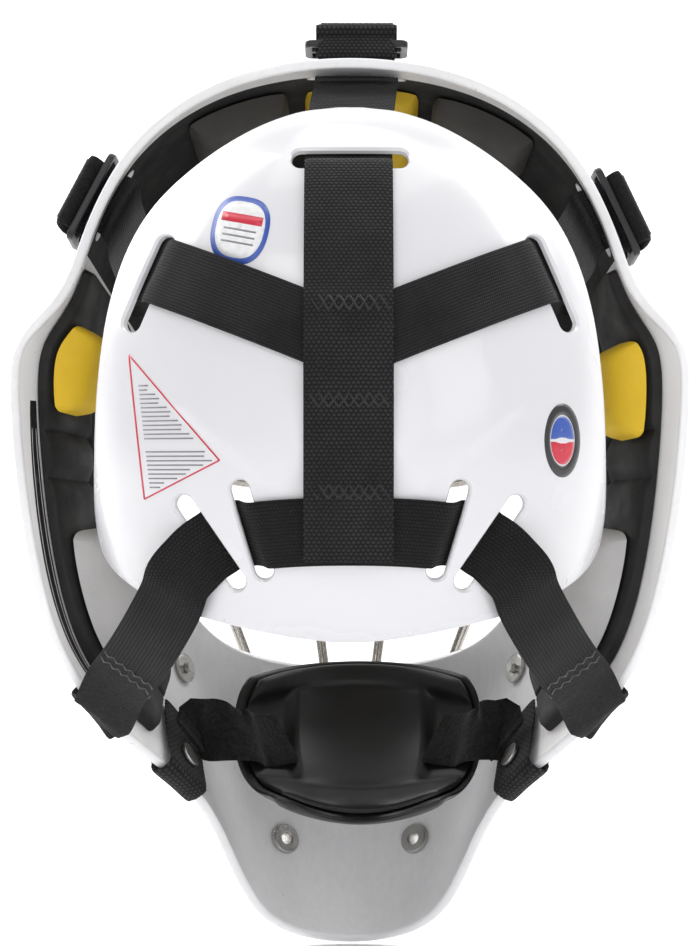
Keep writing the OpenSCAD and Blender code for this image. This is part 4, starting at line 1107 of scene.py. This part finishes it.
# ------------------------------------------------------------------ straps
def strap_mesh(p, w, wide, thick=STRAP_T, step=1.6, nw=18, zone=None, saw=0.0, saw_step=2.0, lift=None, loop=False):
    """Flat woven strap along a curve, with rounded selvedges. zone(s, total) picks the material of each stretch."""
    if loop:
        p = np.asarray(p, float)
        e = np.concatenate([p[-2:], p, p[:3]])
        P = cr_dense(e, 16)[32:-32]
        P = P[:16 * len(p)]
        seg = np.linalg.norm(np.roll(P, -1, 0) - P, axis=1)
        S_ = np.concatenate([[0], np.cumsum(seg)])
        n = int(round(S_[-1] / step))
        t = np.linspace(0, S_[-1], n, endpoint=False)
        PP = np.concatenate([P, P[:1]])
        P = np.stack([np.interp(t, S_, PP[:, i]) for i in range(3)], -1)
        W, s = np.repeat(np.asarray(w, float)[None], n, 0), t
        g = unit(np.roll(P, -1, 0) - np.roll(P, 1, 0))
    else:
        P, W, s = resample(p, w, step)
        g = unit(np.gradient(P, axis=0))
    a = unit(W - np.sum(W * g, 1, keepdims=True) * g)
    b = np.cross(g, a)
    if lift is not None:
        P = P + b * lift(s, s[-1])[:, None]
    c = np.sin(np.linspace(-1, 1, nw + 1) * np.pi / 2 * 0.97)
    c = c / c[-1]
    half = thick / 2 * np.maximum(0.08, 1 - np.abs(c) ** 9) ** 0.5
    ww = np.full(len(P), wide / 2)
    if saw:
        ww = ww - saw * np.abs(np.sin(np.pi * s / saw_step))
    off_ = a[:, None] * c[None, :, None] * ww[:, None, None]
    topr = P[:, None] + off_ + b[:, None] * half[None, :, None]
    botr = P[:, None] + off_[:, ::-1] - b[:, None] * half[None, ::-1, None]
    R = np.concatenate([topr, botr], 1)
    v, f = loft(R, loop)
    xs = np.concatenate([c, c[::-1]])[None, :] * ww[:, None]
    st = np.stack([np.repeat(s[:, None], R.shape[1], 1), xs, np.repeat(np.concatenate([np.ones(nw + 1), -np.ones(nw + 1)])[None], len(P), 0)], -1).reshape(-1, 3)
    mi = np.zeros(len(f), int)
    if zone is not None:
        m = R.shape[1]
        for i, q in enumerate(f):
            mi[i] = zone(s[min(k // m for k in q)], s[-1])
    return v, f, st, mi


def capsule(a, b, r, n=6):
    a, b = np.asarray(a, float), np.asarray(b, float)
    g = unit(b - a)
    x = unit(np.cross(g, arr(0, 0, 1) if abs(g[2]) < 0.9 else arr(1, 0, 0)))
    y = np.cross(g, x)
    t = np.linspace(0, 2 * np.pi, n, endpoint=False)
    c = x[None] * np.cos(t)[:, None] + y[None] * np.sin(t)[:, None]
    return loft(np.array([a - g * r * 0.9 + c * r * 0.35, a - g * r * 0.3 + c * r * 0.9, (a + b) / 2 + c * r, b + g * r * 0.3 + c * r * 0.9, b + g * r * 0.9 + c * r * 0.35]))


def strap_object(name, piece, mats, stitches=()):
    """Strap mesh with its thread stitches, as one object; the last material is the thread."""
    v, f, st, mi = piece
    if stitches:
        tv, tf, _ = join(list(stitches))
        o = len(v)
        f = list(f) + [[k + o for k in q] for q in tf]
        v = np.concatenate([v, tv])
        st = np.concatenate([st, np.zeros((len(tv), 3))])
        mi = np.concatenate([mi, np.full(len(tf), len(mats) - 1)])
    return mesh_object(name, v, f, mats, mi, {"st": st}, sharp=50)


def sv1(u, v):
    return unit(surf(u, v, 0, 1))


def cross_rows(p0, px, pn, width, rows, pitch=4.0, high=4.2, r=0.34):
    """Makes no stitches and returns an empty list; p0 (centre), px (across) and pn (outwards) are not used."""
    out = []
    return out


# One long web: tail outside the crown, through the slot, over the gap, through the plate and down it
TAIL = [[0, -1.85], [0, -0.7], [-0.2, 0.3], [-0.9, 1], [-2, 1.2], [-4, 1.2]]


def tail_pts(c, l, k, sx):
    q = [[c[0] + t[0] / k, t[1]] for t in TAIL] + [[c[0] - (4 + (l - 4) * i / 5) / k, 1.2] for i in range(1, 6)]
    return [at(a[0], c[1], a[1]) + sx * sv1(a[0], c[1]) for a in q]


WEB = [[120, -4.8], [117.5, -4.3], [115.4, -2.6], [114, -0.6], [112.2, 0.9], [109, 1.4], [100, 1.4], [85, 1.4], [72, 1.5], [66, 2.2], [61, 3.3], [50, 3.5], [40, 3.5],
       [32, 3.2], [26, 2.2], [20, 1.5], [8, 1.4], [0, 1.7], [-5, 2.8], [-9, 3.4], [-20, 3.6], [-26, 4.1], [-30, 4.6]]
path = tail_pts(CROWN, 40, 45, 2.5)[::-1]
path += [at(5.45, 0, -3) + arr(2.5, 0, 0), arr(2.5, -2.6, 150.8), arr(2.5, -6, 149.6), arr(2.2, -12, 148.4), arr(1.8, -22, 145.2), arr(1.2, -34, 140.4),
         arr(0.6, -44, 135.2), dome(0, 130, -6.6), dome(-0.2, 126, -6)]
path += [dome(-0.5, q[0], q[1]) for q in WEB]
piece = strap_mesh(np.array(path), np.repeat(arr(1, 0, 0)[None], len(path), 0), WEB_W, step=1.5, nw=22)
WZ = np.array(WEB)[::-1]


def web_top(x, z):
    return dome(x, z, np.interp(z, WZ[:, 0], WZ[:, 1]) + STRAP_T / 2 + 0.1)


stitches = []
for zc, hh in ((59.4, 4.6), (25.8, 4.2), (-6.0, 4.2)):
    for i in range(8):
        x0, x1 = -0.5 - 13.6 + i * 3.5, -0.5 - 13.6 + (i + 0.86) * 3.5
        a0, a1 = web_top(x0, zc - hh / 2), web_top(x1, zc + hh / 2)
        b0, b1 = web_top(x0, zc + hh / 2), web_top(x1, zc - hh / 2)
        m_ = dome_n(0, zc) * 0.22
        stitches += [capsule(a0, a1, 0.42), capsule(b0 + m_, b1 + m_, 0.42)]
ob = strap_object("centre_web", piece, [M["web"], M["thread"]], stitches)
place(ob, None, ["crown_strap_tail", "crown_web_link", "centre_webbing"])
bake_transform(ob)

# Upper elastic on the plate
UP = [[0, 47, 1.3], [6, 48.2, 1.3], [20, 53.8, 1.3], [36, 60.2, 1.3], [52, 66.6, 1.3], [63, 70.9, 1.3], [67, 72.5, 1.1], [69.5, 73.5, 0.2], [71.3, 74.2, -1.4],
      [73, 74.9, -3.2], [75, 75.7, -4.5], [77, 76.4, -4.8]]


def both(q):
    return [[-a[0], a[1], a[2]] for a in q[:0:-1]] + q


q = both(UP)
P_ = np.array([dome(*a) for a in q])
T_ = unit(np.gradient(P_, axis=0))
W_ = []
for i, a in enumerate(q):
    n = dome_n(a[0], a[1])
    w = arr(-0.4 * np.sign(a[0]), 0, 0.92) if abs(a[0]) > 66 else np.cross(n, T_[i])
    W_.append(unit(w - (w @ n) * n))
W_ = np.array(W_)
W_[W_[:, 2] < 0] *= -1
ob = strap_object("upper_elastic_band", strap_mesh(P_, W_, ELASTIC_W, step=1.6), [M["elastic"]])
place(ob, "back_plate_group", ["upper_elastic"])

LO = [[0, -20.5, 1.3], [10, -20.6, 1.3], [20, -21, 1.3], [28, -21.6, 1.3], [31.5, -22, 0.9], [33.8, -22.3, -0.8], [36, -22.6, -3.2], [38.5, -22.9, -5.2],
      [41.5, -23.2, -5.6], [46.4, -23.7, -5.6]]
LOW = [0, 0, 0, .1, .22, .28, .28, .3, .42, .56]
q = both(LO)
P_ = np.array([dome(*a) for a in q])
W_ = []
for i, a in enumerate(q):
    k = i - len(LO) + 1
    n = dome_n(a[0], a[1])
    w = arr(np.sign(k) * LOW[abs(k)], 0, 1)
    W_.append(unit(w - (w @ n) * n))
ob = strap_object("lower_elastic_band", strap_mesh(P_, np.array(W_), ELASTIC_W, step=1.6), [M["elastic2"]])
place(ob, "back_plate_group", ["lower_elastic"])

for s, side, slot_at in ((1, "right", RIGHT), (-1, "left", LEFT)):
    # Upper elastic link and its tail outside the shell
    u0, v0 = slot_at
    pts = [dome(s * 77.4, 76.5, -5.0), dome(s * 79, 77.1, -5.5), dome(s * 81, 77.8, -5.6)]
    m0, e = pts[-1], at(u0, v0, -SHELL_T - 4.5)
    pts += [lerp(m0, e, t) + arr(s * 2 * math.sin(math.pi * t), 0, 0) for t in (0.3, 0.6, 0.85)]
    pts += [at(u0, v0, -SHELL_T - 2.6) + arr(0, -0.9, 0), at(u0, v0, -SHELL_T - 1)]
    w1 = sv1(u0, v0)
    w1s = w1 if w1[2] > 0 else -w1
    W_ = [unit(lerp(arr(-0.4 * s, 0, 0.92), w1s, i / (len(pts) - 1))) for i in range(len(pts))]
    tp = tail_pts(slot_at, 36, 27, 0)
    for i, p in enumerate(tp):
        pts.append(p)
        W_.append(w1s)
    ob = strap_object(side + "_elastic_link", strap_mesh(np.array(pts), np.array(W_), ELASTIC_W, step=1.6), [M["elastic"]])
    place(ob, None, ["upper_%s_elastic_link" % side, side + "_strap_tail"])
    tuple(dome(s * 78, 76.7, 0) * 0.001)
    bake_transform(ob)

    # Lower strap: elastic out of the plate, a sewn seam, then the hook tab that wraps the rim
    v = LOWER_V if s > 0 else NV - LOWER_V
    r, g, n = surf(6, v), su(6, v), nrm(6, v)
    e = r + 8.9 * g - 5.6 * n
    pts = [dome(s * 46.8, -23.75, -5.6), dome(s * 49.0, -25.8, -4.2), dome(s * 51.1, -27.2, -1.9), dome(s * 52.8, -28.6, 0.5), dome(s * 54.6, -30.9, 3.0), dome(s * 58.4, -36.2, 5.9),
           arr(s * 65.2, -88.8, -46.8), arr(s * 73, -69, -60), arr(s * 81, -44, -71.5), arr(s * 89, -21, -81.5), e,
           r + 6.9 * g - 2.9 * n, r + 4.4 * g - 0.5 * n, r + 3.2 * g + 0.9 * n, r + 1.5 * g + 1.4 * n] + [at(u, v, 1.35) for u in (5.9, 5.7, 5.4, 5.1, 4.8)]
    w1 = sv1(6, v)
    w1s = w1 if w1[2] > 0 else -w1
    W_ = []
    for i in range(len(pts)):
        if i < 4:
            W_.append(unit(arr(s * 0.66, 0, 0.76)))
        else:
            W_.append(unit(lerp(arr(s * 0.72, 0, 0.68), w1s, min(1, (i - 4) / 6))))
    seam = 0.56
    piece = strap_mesh(np.array(pts), np.array(W_), ELASTIC_W, step=1.5, zone=lambda t, L: 0 if t < seam * L else 1)
    Pq, Wq, sq = resample(np.array(pts), np.array(W_), 1.5)
    gq = unit(np.gradient(Pq, axis=0))
    aq = unit(Wq - np.sum(Wq * gq, 1, keepdims=True) * gq)
    bq = np.cross(gq, aq)
    st = []
    for band in (0.0, 5.2):
        i0 = int(np.searchsorted(sq, seam * sq[-1] + band))
        for k in range(11):
            for sd in (1, -1):
                x0, x1 = -11.2 + k * 2.05, -11.2 + (k + 1) * 2.05
                d0, d1 = (-1.2, 1.2) if k % 2 else (1.2, -1.2)
                base_ = Pq[i0] + bq[i0] * sd * (STRAP_T / 2 + 0.12)
                st.append(capsule(base_ + aq[i0] * x0 + gq[i0] * d0, base_ + aq[i0] * x1 + gq[i0] * d1, 0.3))
    ob = strap_object("lower_%s_band" % side, piece, [M["elastic2"], M["tab"], M["zig"]], st)
    place(ob, None, ["lower_%s_strap" % side, "lower_%s_strap_tail" % side])
    tuple(dome(s * 57.5, -27.6, 3.0) * 0.001)
    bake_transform(ob)

    # Jaw web round the rim
    v = JAW_V if s > 0 else NV - JAW_V
    r, g, n = surf(6, v), su(6, v), nrm(6, v)
    pts = [at(u, v, 2.2) for u in (4.7, 5, 5.3, 5.6, 5.85)] + [r + 1.4 * g + 2 * n, r + 3 * g + 0.6 * n, r + 3.9 * g - 1.2 * n, r + 4 * g - 3.2 * n, r + 3.2 * g - 5.4 * n,
                                                              r + 1.4 * g - 6.5 * n] + [at(u, v, -SHELL_T - 2.8) for u in (5.85, 5.6, 5.2, 4.8, 4.4, 4, 3.6)]
    W_ = np.repeat(sv1(6, v)[None], len(pts), 0)
    ob = strap_object(side + "_jaw_webbing", strap_mesh(np.array(pts), W_, ELASTIC_W, step=0.55, saw=0.35, saw_step=2.4), [M["jawweb"]])
    place(ob, "mask", [side + "_jaw_web"])

# ------------------------------------------------------------------ slide buckles and the folded straps through them
LOOPQ = [[-2.2, 3.9], [2.2, 3.9], [4.3, 4.6], [4.9, 6.2], [5.2, 8], [7.4, 9.6], [9, 11.4], [8, 13.4], [4, 14.4], [0, 14.6], [-4, 14.4], [-8, 13.4],
         [-9, 11.4], [-7.4, 9.6], [-5.2, 8], [-4.9, 6.2], [-4.3, 4.6]]


def local(u, v, pts, shift=0.0):
    p, X, Y, Z = spot(u, v)
    pts = np.asarray(pts, float)
    return p + (pts[..., :1] + shift) * X + pts[..., 1:2] * Y + pts[..., 2:3] * Z


def tri_glide(w):
    """Frame with rounded rails and a middle bar, flat on z."""
    parts = []
    hx, hy = w / 2 + 2.5, 9.0
    rad = 2.0
    line, wid = [], []
    for cx, cy, a0 in ((hx - rad, -(hy - rad), -90), (hx - rad, hy - rad, 0), (-(hx - rad), hy - rad, 90), (-(hx - rad), -(hy - rad), 180)):
        for t in np.linspace(a0, a0 + 90, 9):
            c, s = math.cos(math.radians(t)), math.sin(math.radians(t))
            line.append((cx + rad * c, cy + rad * s))
            wid.append(lerp(1.98, 2.98, abs(c)))
    line = np.array(line)
    more_l, more_w = [], []
    for i in range(len(line)):
        a, b = line[i], line[(i + 1) % len(line)]
        more_l.append(a)
        more_w.append(wid[i])
        d = np.linalg.norm(b - a)
        if d > 3:
            for t in (0.2, 0.5, 0.8):
                more_l.append(lerp(a, b, t))
                more_w.append(wid[i])
    line, wid = np.array(more_l), np.array(more_w)
    g = unit(np.roll(line, -1, 0) - np.roll(line, 1, 0))
    nrm2 = np.stack([g[:, 1], -g[:, 0]], -1)
    th = np.linspace(0, 2 * np.pi, 20, endpoint=False)
    cc = np.sign(np.cos(th)) * np.abs(np.cos(th)) ** 0.45
    ss = np.sign(np.sin(th)) * np.abs(np.sin(th)) ** 0.45
    rr = []
    for i in range(len(line)):
        q = line[i][None] + nrm2[i][None] * (cc * wid[i] / 2)[:, None]
        rr.append(np.concatenate([q, (6.2 + ss * 1.4)[:, None]], 1))
    parts.append(loft(np.array(rr), loop=True))
    xs = np.linspace(-w / 2 - 2.2, w / 2 + 2.2, 9)
    bar = [np.stack([np.full(20, x), cc * 1.75, 6.2 + ss * 1.25], -1) for x in xs]
    parts.append(loft(np.array(bar)))
    return join(parts)[:2]


for nm, body, (u, v), w, sh, mat in (("crown", "crown_buckle_group", (CROWN[0] - 0.38, 0.0), WEB_W, -2.5, "web"),
                                     ("right", "right_buckle_group", (RIGHT[0] - 0.55, RIGHT[1]), TAB_W, 0.0, "tab"),
                                     ("left", "left_buckle_group", (LEFT[0] - 0.55, LEFT[1]), TAB_W, 0.0, "tab")):
    bv_, bf_ = tri_glide(w)
    up = 4.0 if nm == "crown" else 0.0
    bv_ = local(u, v, bv_ + [0, 0, up], sh)
    ob = mesh_object(nm + "_tri_glide", bv_, oriented(bv_, bf_), [M["plastic"]], sharp=50)
    place(ob, body, [nm + "_slide_buckle"])
    p, X, Y, Z = spot(u, v)
    lp = np.array([[0, a, b + up] for a, b in LOOPQ], float)
    lp = local(u, v, lp, sh)
    piece = strap_mesh(lp, X, w - 0.6, step=0.9, nw=22, thick=1.7, loop=True)
    stl = []
    for k in range(12):
        for sd in (-1, 1):
            y0 = sd * 6.3
            x0, x1 = -w / 2 + 2 + k * (w - 4) / 12, -w / 2 + 2 + (k + 0.8) * (w - 4) / 12
            zz = 14.05 + 0.85 + up
            stl.append(capsule(local(u, v, [x0, y0, zz], sh), local(u, v, [x1, y0, zz], sh), 0.3))
    ob = strap_object(nm + "_fold", piece, [M[mat], M["thread"]], stl)
    place(ob, body, [nm + "_strap_loop"])

# Hem of the crown web: it climbs from the shell to the buckle's rear rail
hem = local(CROWN[0] - 0.38, 0.0, [[0, -6, 1.9], [0, 4, 1.9], [0, 9.5, 2.1], [0, 11.4, 3.4], [0, 11.2, 6.0], [0, 10.2, 9.0], [0, 8.6, 12.2], [0, 7.0, 13.6]], -2.5)
X_h = spot(CROWN[0] - 0.38, 0.0)[1]
ob = strap_object("crown_hem", strap_mesh(hem, np.repeat(X_h[None], len(hem), 0), WEB_W - 2.4, step=1.2, nw=22), [M["web"]])
place(ob, "crown_buckle_group")

# ------------------------------------------------------------------ chin cup
CQ = cr_dense(np.array([[101, -77], [98, -90], [90, -106], [76, -120], [58, -130], [40, -136]], float), 12)
CW = cr_dense(np.array([[46.5, 0], [50, 0], [51, 0], [48, 0], [42, 0], [33, 0]], float), 12)[:, 0]


def cup_at(s, w):
    s, w = np.broadcast_arrays(np.asarray(s, float), np.asarray(w, float))
    t = np.linspace(0, 1, len(CQ))
    y, z, h, a = np.interp(s, t, CQ[:, 0]), np.interp(s, t, CQ[:, 1]), np.interp(s, t, CW), np.abs(w)
    return np.stack([4 + h * w, y - 30 * a ** 2.4, z + np.interp(s, [0, 0.45, 1], [-5.5, -0.2, 13]) * a * a], -1)


def cup_n(s, w):
    e = 0.02
    s, w = np.broadcast_arrays(np.asarray(s, float), np.asarray(w, float))
    return unit(np.cross(cup_at(np.minimum(1, s + e), w) - cup_at(np.maximum(0, s - e), w),
                         cup_at(s, np.minimum(1, w + e)) - cup_at(s, np.maximum(-1, w - e))))


A, B = np.meshgrid(spaced(60), spaced(90), indexing="ij")
A2, B2 = A * (1 - 0.05 * np.abs(B) ** 7), B * (1 - 0.05 * np.abs(A) ** 7)
S_, W_ = (A2 + 1) / 2, lerp(-0.96, 0.93, (B2 + 1) / 2)
half = CUP_T / 2 * np.maximum(0.05, 1 - np.abs(A) ** 14) ** 0.5 * np.maximum(0.05, 1 - np.abs(B) ** 16) ** 0.5
bead = 1.3 * np.exp(-((S_ - 0.955) / 0.03) ** 2) + 0.9 * np.exp(-((S_ - 0.04) / 0.025) ** 2)
vent_ = 0.9 * np.exp(-((S_ - 0.5) / 0.02) ** 2) * (1 - sstep(0.5, 0.7, np.abs(W_)))
c0, cn = cup_at(S_, W_), cup_n(S_, W_)
front = c0 + cn * (-CUP_T / 2 - half - bead * prof(A, 20) * prof(B, 14) + vent_ * 0.6)[..., None]
back = c0 + cn * (-CUP_T / 2 + half - 0.02)[..., None]
v, f = slab(back, front)
place(mesh_object("chin_cup_shell", v, f, [M["cup"]], sharp=50), "chin_cup_group", ["chin_cup"])

Sg, Wg = lerp(0.025, 0.965, (A2 + 1) / 2), 0.905 * B2
rec = sstep(0.53, 0.6, np.abs(Wg)) * sstep(0.16, 0.215, Sg) * (1 - sstep(0.69, 0.755, Sg))
crown_ = 0.85 + 0.15 * (1 - A * A) * (1 - B * B)
ridge = 1 - 0.22 * np.exp(-((Sg - 0.17) / 0.02) ** 2) - 0.22 * np.exp(-((Sg - 0.77) / 0.02) ** 2)
tk = 0.3 + 4.1 * (0.25 + 0.75 * prof(A, 9) * prof(B, 12)) * (1 - 0.93 * rec) * crown_ * ridge
base_ = cup_at(Sg, Wg)
nn = cup_n(Sg, Wg)
v, f = slab(base_ + nn * tk[..., None], base_ + nn * 0.22)
place(mesh_object("chin_cup_cushion", v, f, [M["cup_pad"]], sharp=50), "chin_cup_group", ["chin_cup_pad"])

for s, side in ((1, "right"), (-1, "left")):
    v = JAW_V if s > 0 else NV - JAW_V
    c = [cup_at(0.45, s * a) + b * cup_n(0.45, s * a) for a, b in ((0.63, 4.4), (0.74, 4.4), (0.85, 5.2), (0.96, 7.6))]
    d = -SHELL_T - 6.8
    e = [at(4.2, v, d - 2.4), at(4.35, v, d - 1), at(4.5, v, d - 0.2), at(4.7, v, d)]
    pts = c + [lerp(c[3], e[0], 0.4) + arr(0, -2.6, 0), lerp(c[3], e[0], 0.78) + arr(0, -1.4, 0)] + e
    cw = unit(cup_at(0.35, s * 0.8) - cup_at(0.55, s * 0.8))
    w1 = sv1(4, v)
    w1s = w1 if w1[2] > 0 else -w1
    W_ = [unit(lerp(cw, w1s, max(0, min(1, (i - 3) / 4)))) for i in range(len(pts))]
    ob = strap_object(side + "_chin_band", strap_mesh(np.array(pts), np.array(W_), ELASTIC_W, step=1.4, thick=1.7), [M["loop"]])
    place(ob, None, ["chin_%s_strap" % side])
    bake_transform(ob)


# ------------------------------------------------------------------ printed marks on the plate and the inner flare
def patch(fn, uvs, h0, h1):
    """Thin print: fn(a, b, h) over a grid of parameters."""
    return slab(fn(uvs[..., 0], uvs[..., 1], h1), fn(uvs[..., 0], uvs[..., 1], h0))


def disc_patch(c, loop_, h0, h1, r0=0.0, rings_n=6):
    """Star-shaped print about c on the plate; a ring when r0 is over 0."""
    loop_ = np.asarray(loop_, float)
    c = np.asarray(c, float)
    rr = np.linspace(max(r0, 0.02), 1, rings_n)
    q = c + rr[:, None, None] * (loop_ - c)[None]
    lift = plate_relief(q[..., 0], q[..., 1])
    t, b = dome(q[..., 0], q[..., 1], h1 + lift + 0.1), dome(q[..., 0], q[..., 1], h0 + lift - 0.02)
    return loft(np.concatenate([t, b[::-1]]), loop=True)


def strip_patch(a, b, wide, h0, h1):
    a, b = np.asarray(a, float), np.asarray(b, float)
    l = np.linalg.norm(b - a)
    d = (b - a) / l
    n = np.array([-d[1], d[0]])
    k = max(3, int(l / 2))
    q = a + d * np.linspace(0, l, k)[:, None, None] + n * (np.linspace(-wide / 2, wide / 2, 3)[None, :, None])
    lift = plate_relief(q[..., 0], q[..., 1])
    return slab(dome(q[..., 0], q[..., 1], h1 + lift + 0.1), dome(q[..., 0], q[..., 1], h0 + lift - 0.02))


def spun(pts, c, deg):
    t = math.radians(deg)
    R = np.array([[math.cos(t), -math.sin(t)], [math.sin(t), math.cos(t)]])
    return np.asarray(pts, float) @ R.T + np.asarray(c, float)


tq = np.linspace(0, 2 * np.pi, 48, endpoint=False)
sh_out = np.stack([10.5 * np.sign(np.cos(tq)) * np.abs(np.cos(tq)) ** 0.7, 12.0 * np.sign(np.sin(tq)) * np.abs(np.sin(tq)) ** 0.8 - 1.2 * (np.sin(tq) < 0) * np.abs(np.sin(tq)) ** 3], -1)
SC, SD = (-39.5, 88.0), -12
prints = {"p_blue": [disc_patch(SC, spun(sh_out, SC, SD), 0.01, 0.05)],
          "p_white": [disc_patch(SC, spun(sh_out * 0.84, SC, SD), 0.05, 0.08)],
          "p_red": [], "p_black": [], "p_grey": []}
prints["p_red"].append(strip_patch(*[spun([q], SC, SD)[0] for q in ((-7.6, 3.6), (7.6, 3.6))], 3.4, 0.08, 0.11))
for z_ in (-0.6, -3.0, -5.4):
    prints["p_grey"].append(strip_patch(*[spun([q], SC, SD)[0] for q in ((-6.0, z_), (6.0, z_))], 0.7, 0.08, 0.11))
tri = np.array([(-80.5, 43), (-46.5, 4.5), (-74.5, -9.5)], float)
for i in range(3):
    prints["p_red"].append(strip_patch(tri[i], tri[(i + 1) % 3], 0.55, 0.01, 0.05))


def chord(z, inset):
    xs = []
    for i in range(3):
        a, b = tri[i], tri[(i + 1) % 3]
        if (a[1] - z) * (b[1] - z) < 0:
            xs.append(lerp(a[0], b[0], (z - a[1]) / (b[1] - a[1])))
    return (min(xs) + inset, max(xs) - inset) if len(xs) == 2 else (0, 0)


for k_ in range(26):
    z_ = -5.2 + k_ * 1.6
    if k_ in (9, 10):
        continue
    x0, x1 = chord(z_, 2.6)
    if x1 - x0 > 2.5:
        prints["p_grey"].append(strip_patch((x0, z_), (x1 - (1.7 if k_ % 3 == 1 else 0), z_), 0.5, 0.01, 0.04))
BC = np.array([77.0, 11.8])
ring_ = np.stack([BC[0] + 6.9 * np.cos(tq), BC[1] + 13.4 * np.sin(tq)], -1)
prints["p_black"].append(disc_patch(BC, ring_, 0.01, 0.05, r0=0.7, rings_n=4))
half_t = np.linspace(0, np.pi, 24)
for col_, sg in (("p_blue", 1), ("p_red", -1)):
    hp = np.stack([BC[0] + 4.4 * np.cos(half_t), BC[1] + sg * (0.5 + 8.2 * np.sin(half_t))], -1)
    prints[col_].append(disc_patch(BC + [0, sg * 3.6], hp if sg > 0 else hp[::-1], 0.01, 0.05))
mats_, parts_, idx_ = [], [], []
for i, (k_, ps) in enumerate(prints.items()):
    mats_.append(M[k_])
    parts_ += ps
    idx_ += [i] * len(ps)
pv, pf, tg = join(parts_)
place(mesh_object("plate_prints", pv, pf, mats_, [idx_[t] for t in tg], sharp=0), "back_plate_group")

# Dark stripe printed inside the left flare, following the wall, with two plain pinstripes
vl = np.linspace(0, 1, 60)


def stripe(a0, a1, h0, h1, v0=0.0, v1=1.0):
    t = np.linspace(v0, v1, 60)
    vg = NV - 14.3 + t * 4.6
    lo = 5.335 + 0 * t
    hi = 5.78 - 0.5 * np.abs(t - 0.5) ** 1.4
    ug = lo[None] + (hi - lo)[None] * np.linspace(a0, a1, 7)[:, None]
    vv_g = np.repeat(vg[None], 7, 0)
    return slab(at(ug, vv_g, -SHELL_T - h1), at(ug, vv_g, -SHELL_T - h0))


pv, pf, tg = join([stripe(0, 1, -0.02, 0.06), stripe(0.2, 0.26, 0.06, 0.09, 0.05, 0.9), stripe(0.74, 0.8, 0.06, 0.09, 0.05, 0.9)])
place(mesh_object("flare_stripe", pv, pf, [M["p_black"], M["p_white"]], [min(t, 1) for t in tg], sharp=0), "mask")

# ------------------------------------------------------------------ stage and light
def stage_mesh():
    prof = [(-2.6, 0.0), (-1.0, 0.0), (0.0, 0.0)]
    for t in np.linspace(0, 1, 41)[1:]:
        prof.append((0.2 + 1.9 * (1 - (1 - t) ** 2.2), 3.4 * t ** 3))
    z0 = FLOOR
    xs = np.linspace(-3.2, 3.2, 9)
    g = np.array([[[x, y, z + z0] for x in xs] for y, z in prof]) * 1000
    idx = np.arange(len(prof) * 9).reshape(len(prof), 9)
    f = grid_quads(idx).tolist()
    return mesh_object("studio_sweep", g.reshape(-1, 3), [q[::-1] for q in f], [M_stage], sharp=0)


FLOOR = cad_box[0][2] - 0.0015
gs = Graph("studio_paper", Specular_IOR_Level=0.1)
gs.set("Base Color", gs.mix(gs.span(gs.noise(gs.obj(), 3, 2), 0.3, 0.7, 0, 1), (0.93, 0.93, 0.935), (0.915, 0.915, 0.92)))
gs.set("Roughness", gs.span(gs.noise(gs.obj(), 30, 2), 0.3, 0.7, 0.85, 0.95))
M_stage = gs.m
stage_mesh()

world = bpy.data.worlds.new("studio")
scene.world = world
world.use_nodes = True
world.node_tree.nodes["Background"].inputs[0].default_value = (1.0, 1.0, 1.0, 1.0)
world.node_tree.nodes["Background"].inputs[1].default_value = 0.42


def area(name, loc, target, size, power, size_y=None, tint=(1, 1, 1)):
    d = bpy.data.lights.new(name, "AREA")
    d.energy = power
    d.color = tint
    d.size = size
    if size_y:
        d.shape = "RECTANGLE"
        d.size_y = size_y
    o = bpy.data.objects.new(name, d)
    scene.collection.objects.link(o)
    o.location = loc
    o.rotation_euler = (Vector(target) - Vector(loc)).to_track_quat("-Z", "Y").to_euler()
    return o


area("key", (-0.9, -1.9, 1.5), (0, -0.05, 0), 1.1, 10)
area("fill", (1.5, -1.7, 0.6), (0, -0.05, 0), 1.2, 6.5)
area("top", (0.1, 0.2, 1.9), (0, 0, 0), 1.4, 10)
area("front", (-1.2, 1.3, 0.9), (0, 0.05, 0), 1.0, 9)
area("low", (0.0, -1.9, -0.12), (0, 0.05, -0.14), 0.9, 1.8, 0.25)
area("rear_soft", (0.1, -2.3, 0.75), (0, 0, -0.02), 1.8, 9)
area("sweep_left", (-1.6, 1.0, 1.9), (0, 2.1, 0.3), 1.6, 46)
area("sweep_right", (1.6, 1.0, 1.9), (0, 2.1, 0.3), 1.6, 46)
scene.view_settings.view_transform = "Standard"
scene.view_settings.look = "None"
scene.view_settings.exposure = 0.0
scene.view_settings.gamma = 1.0
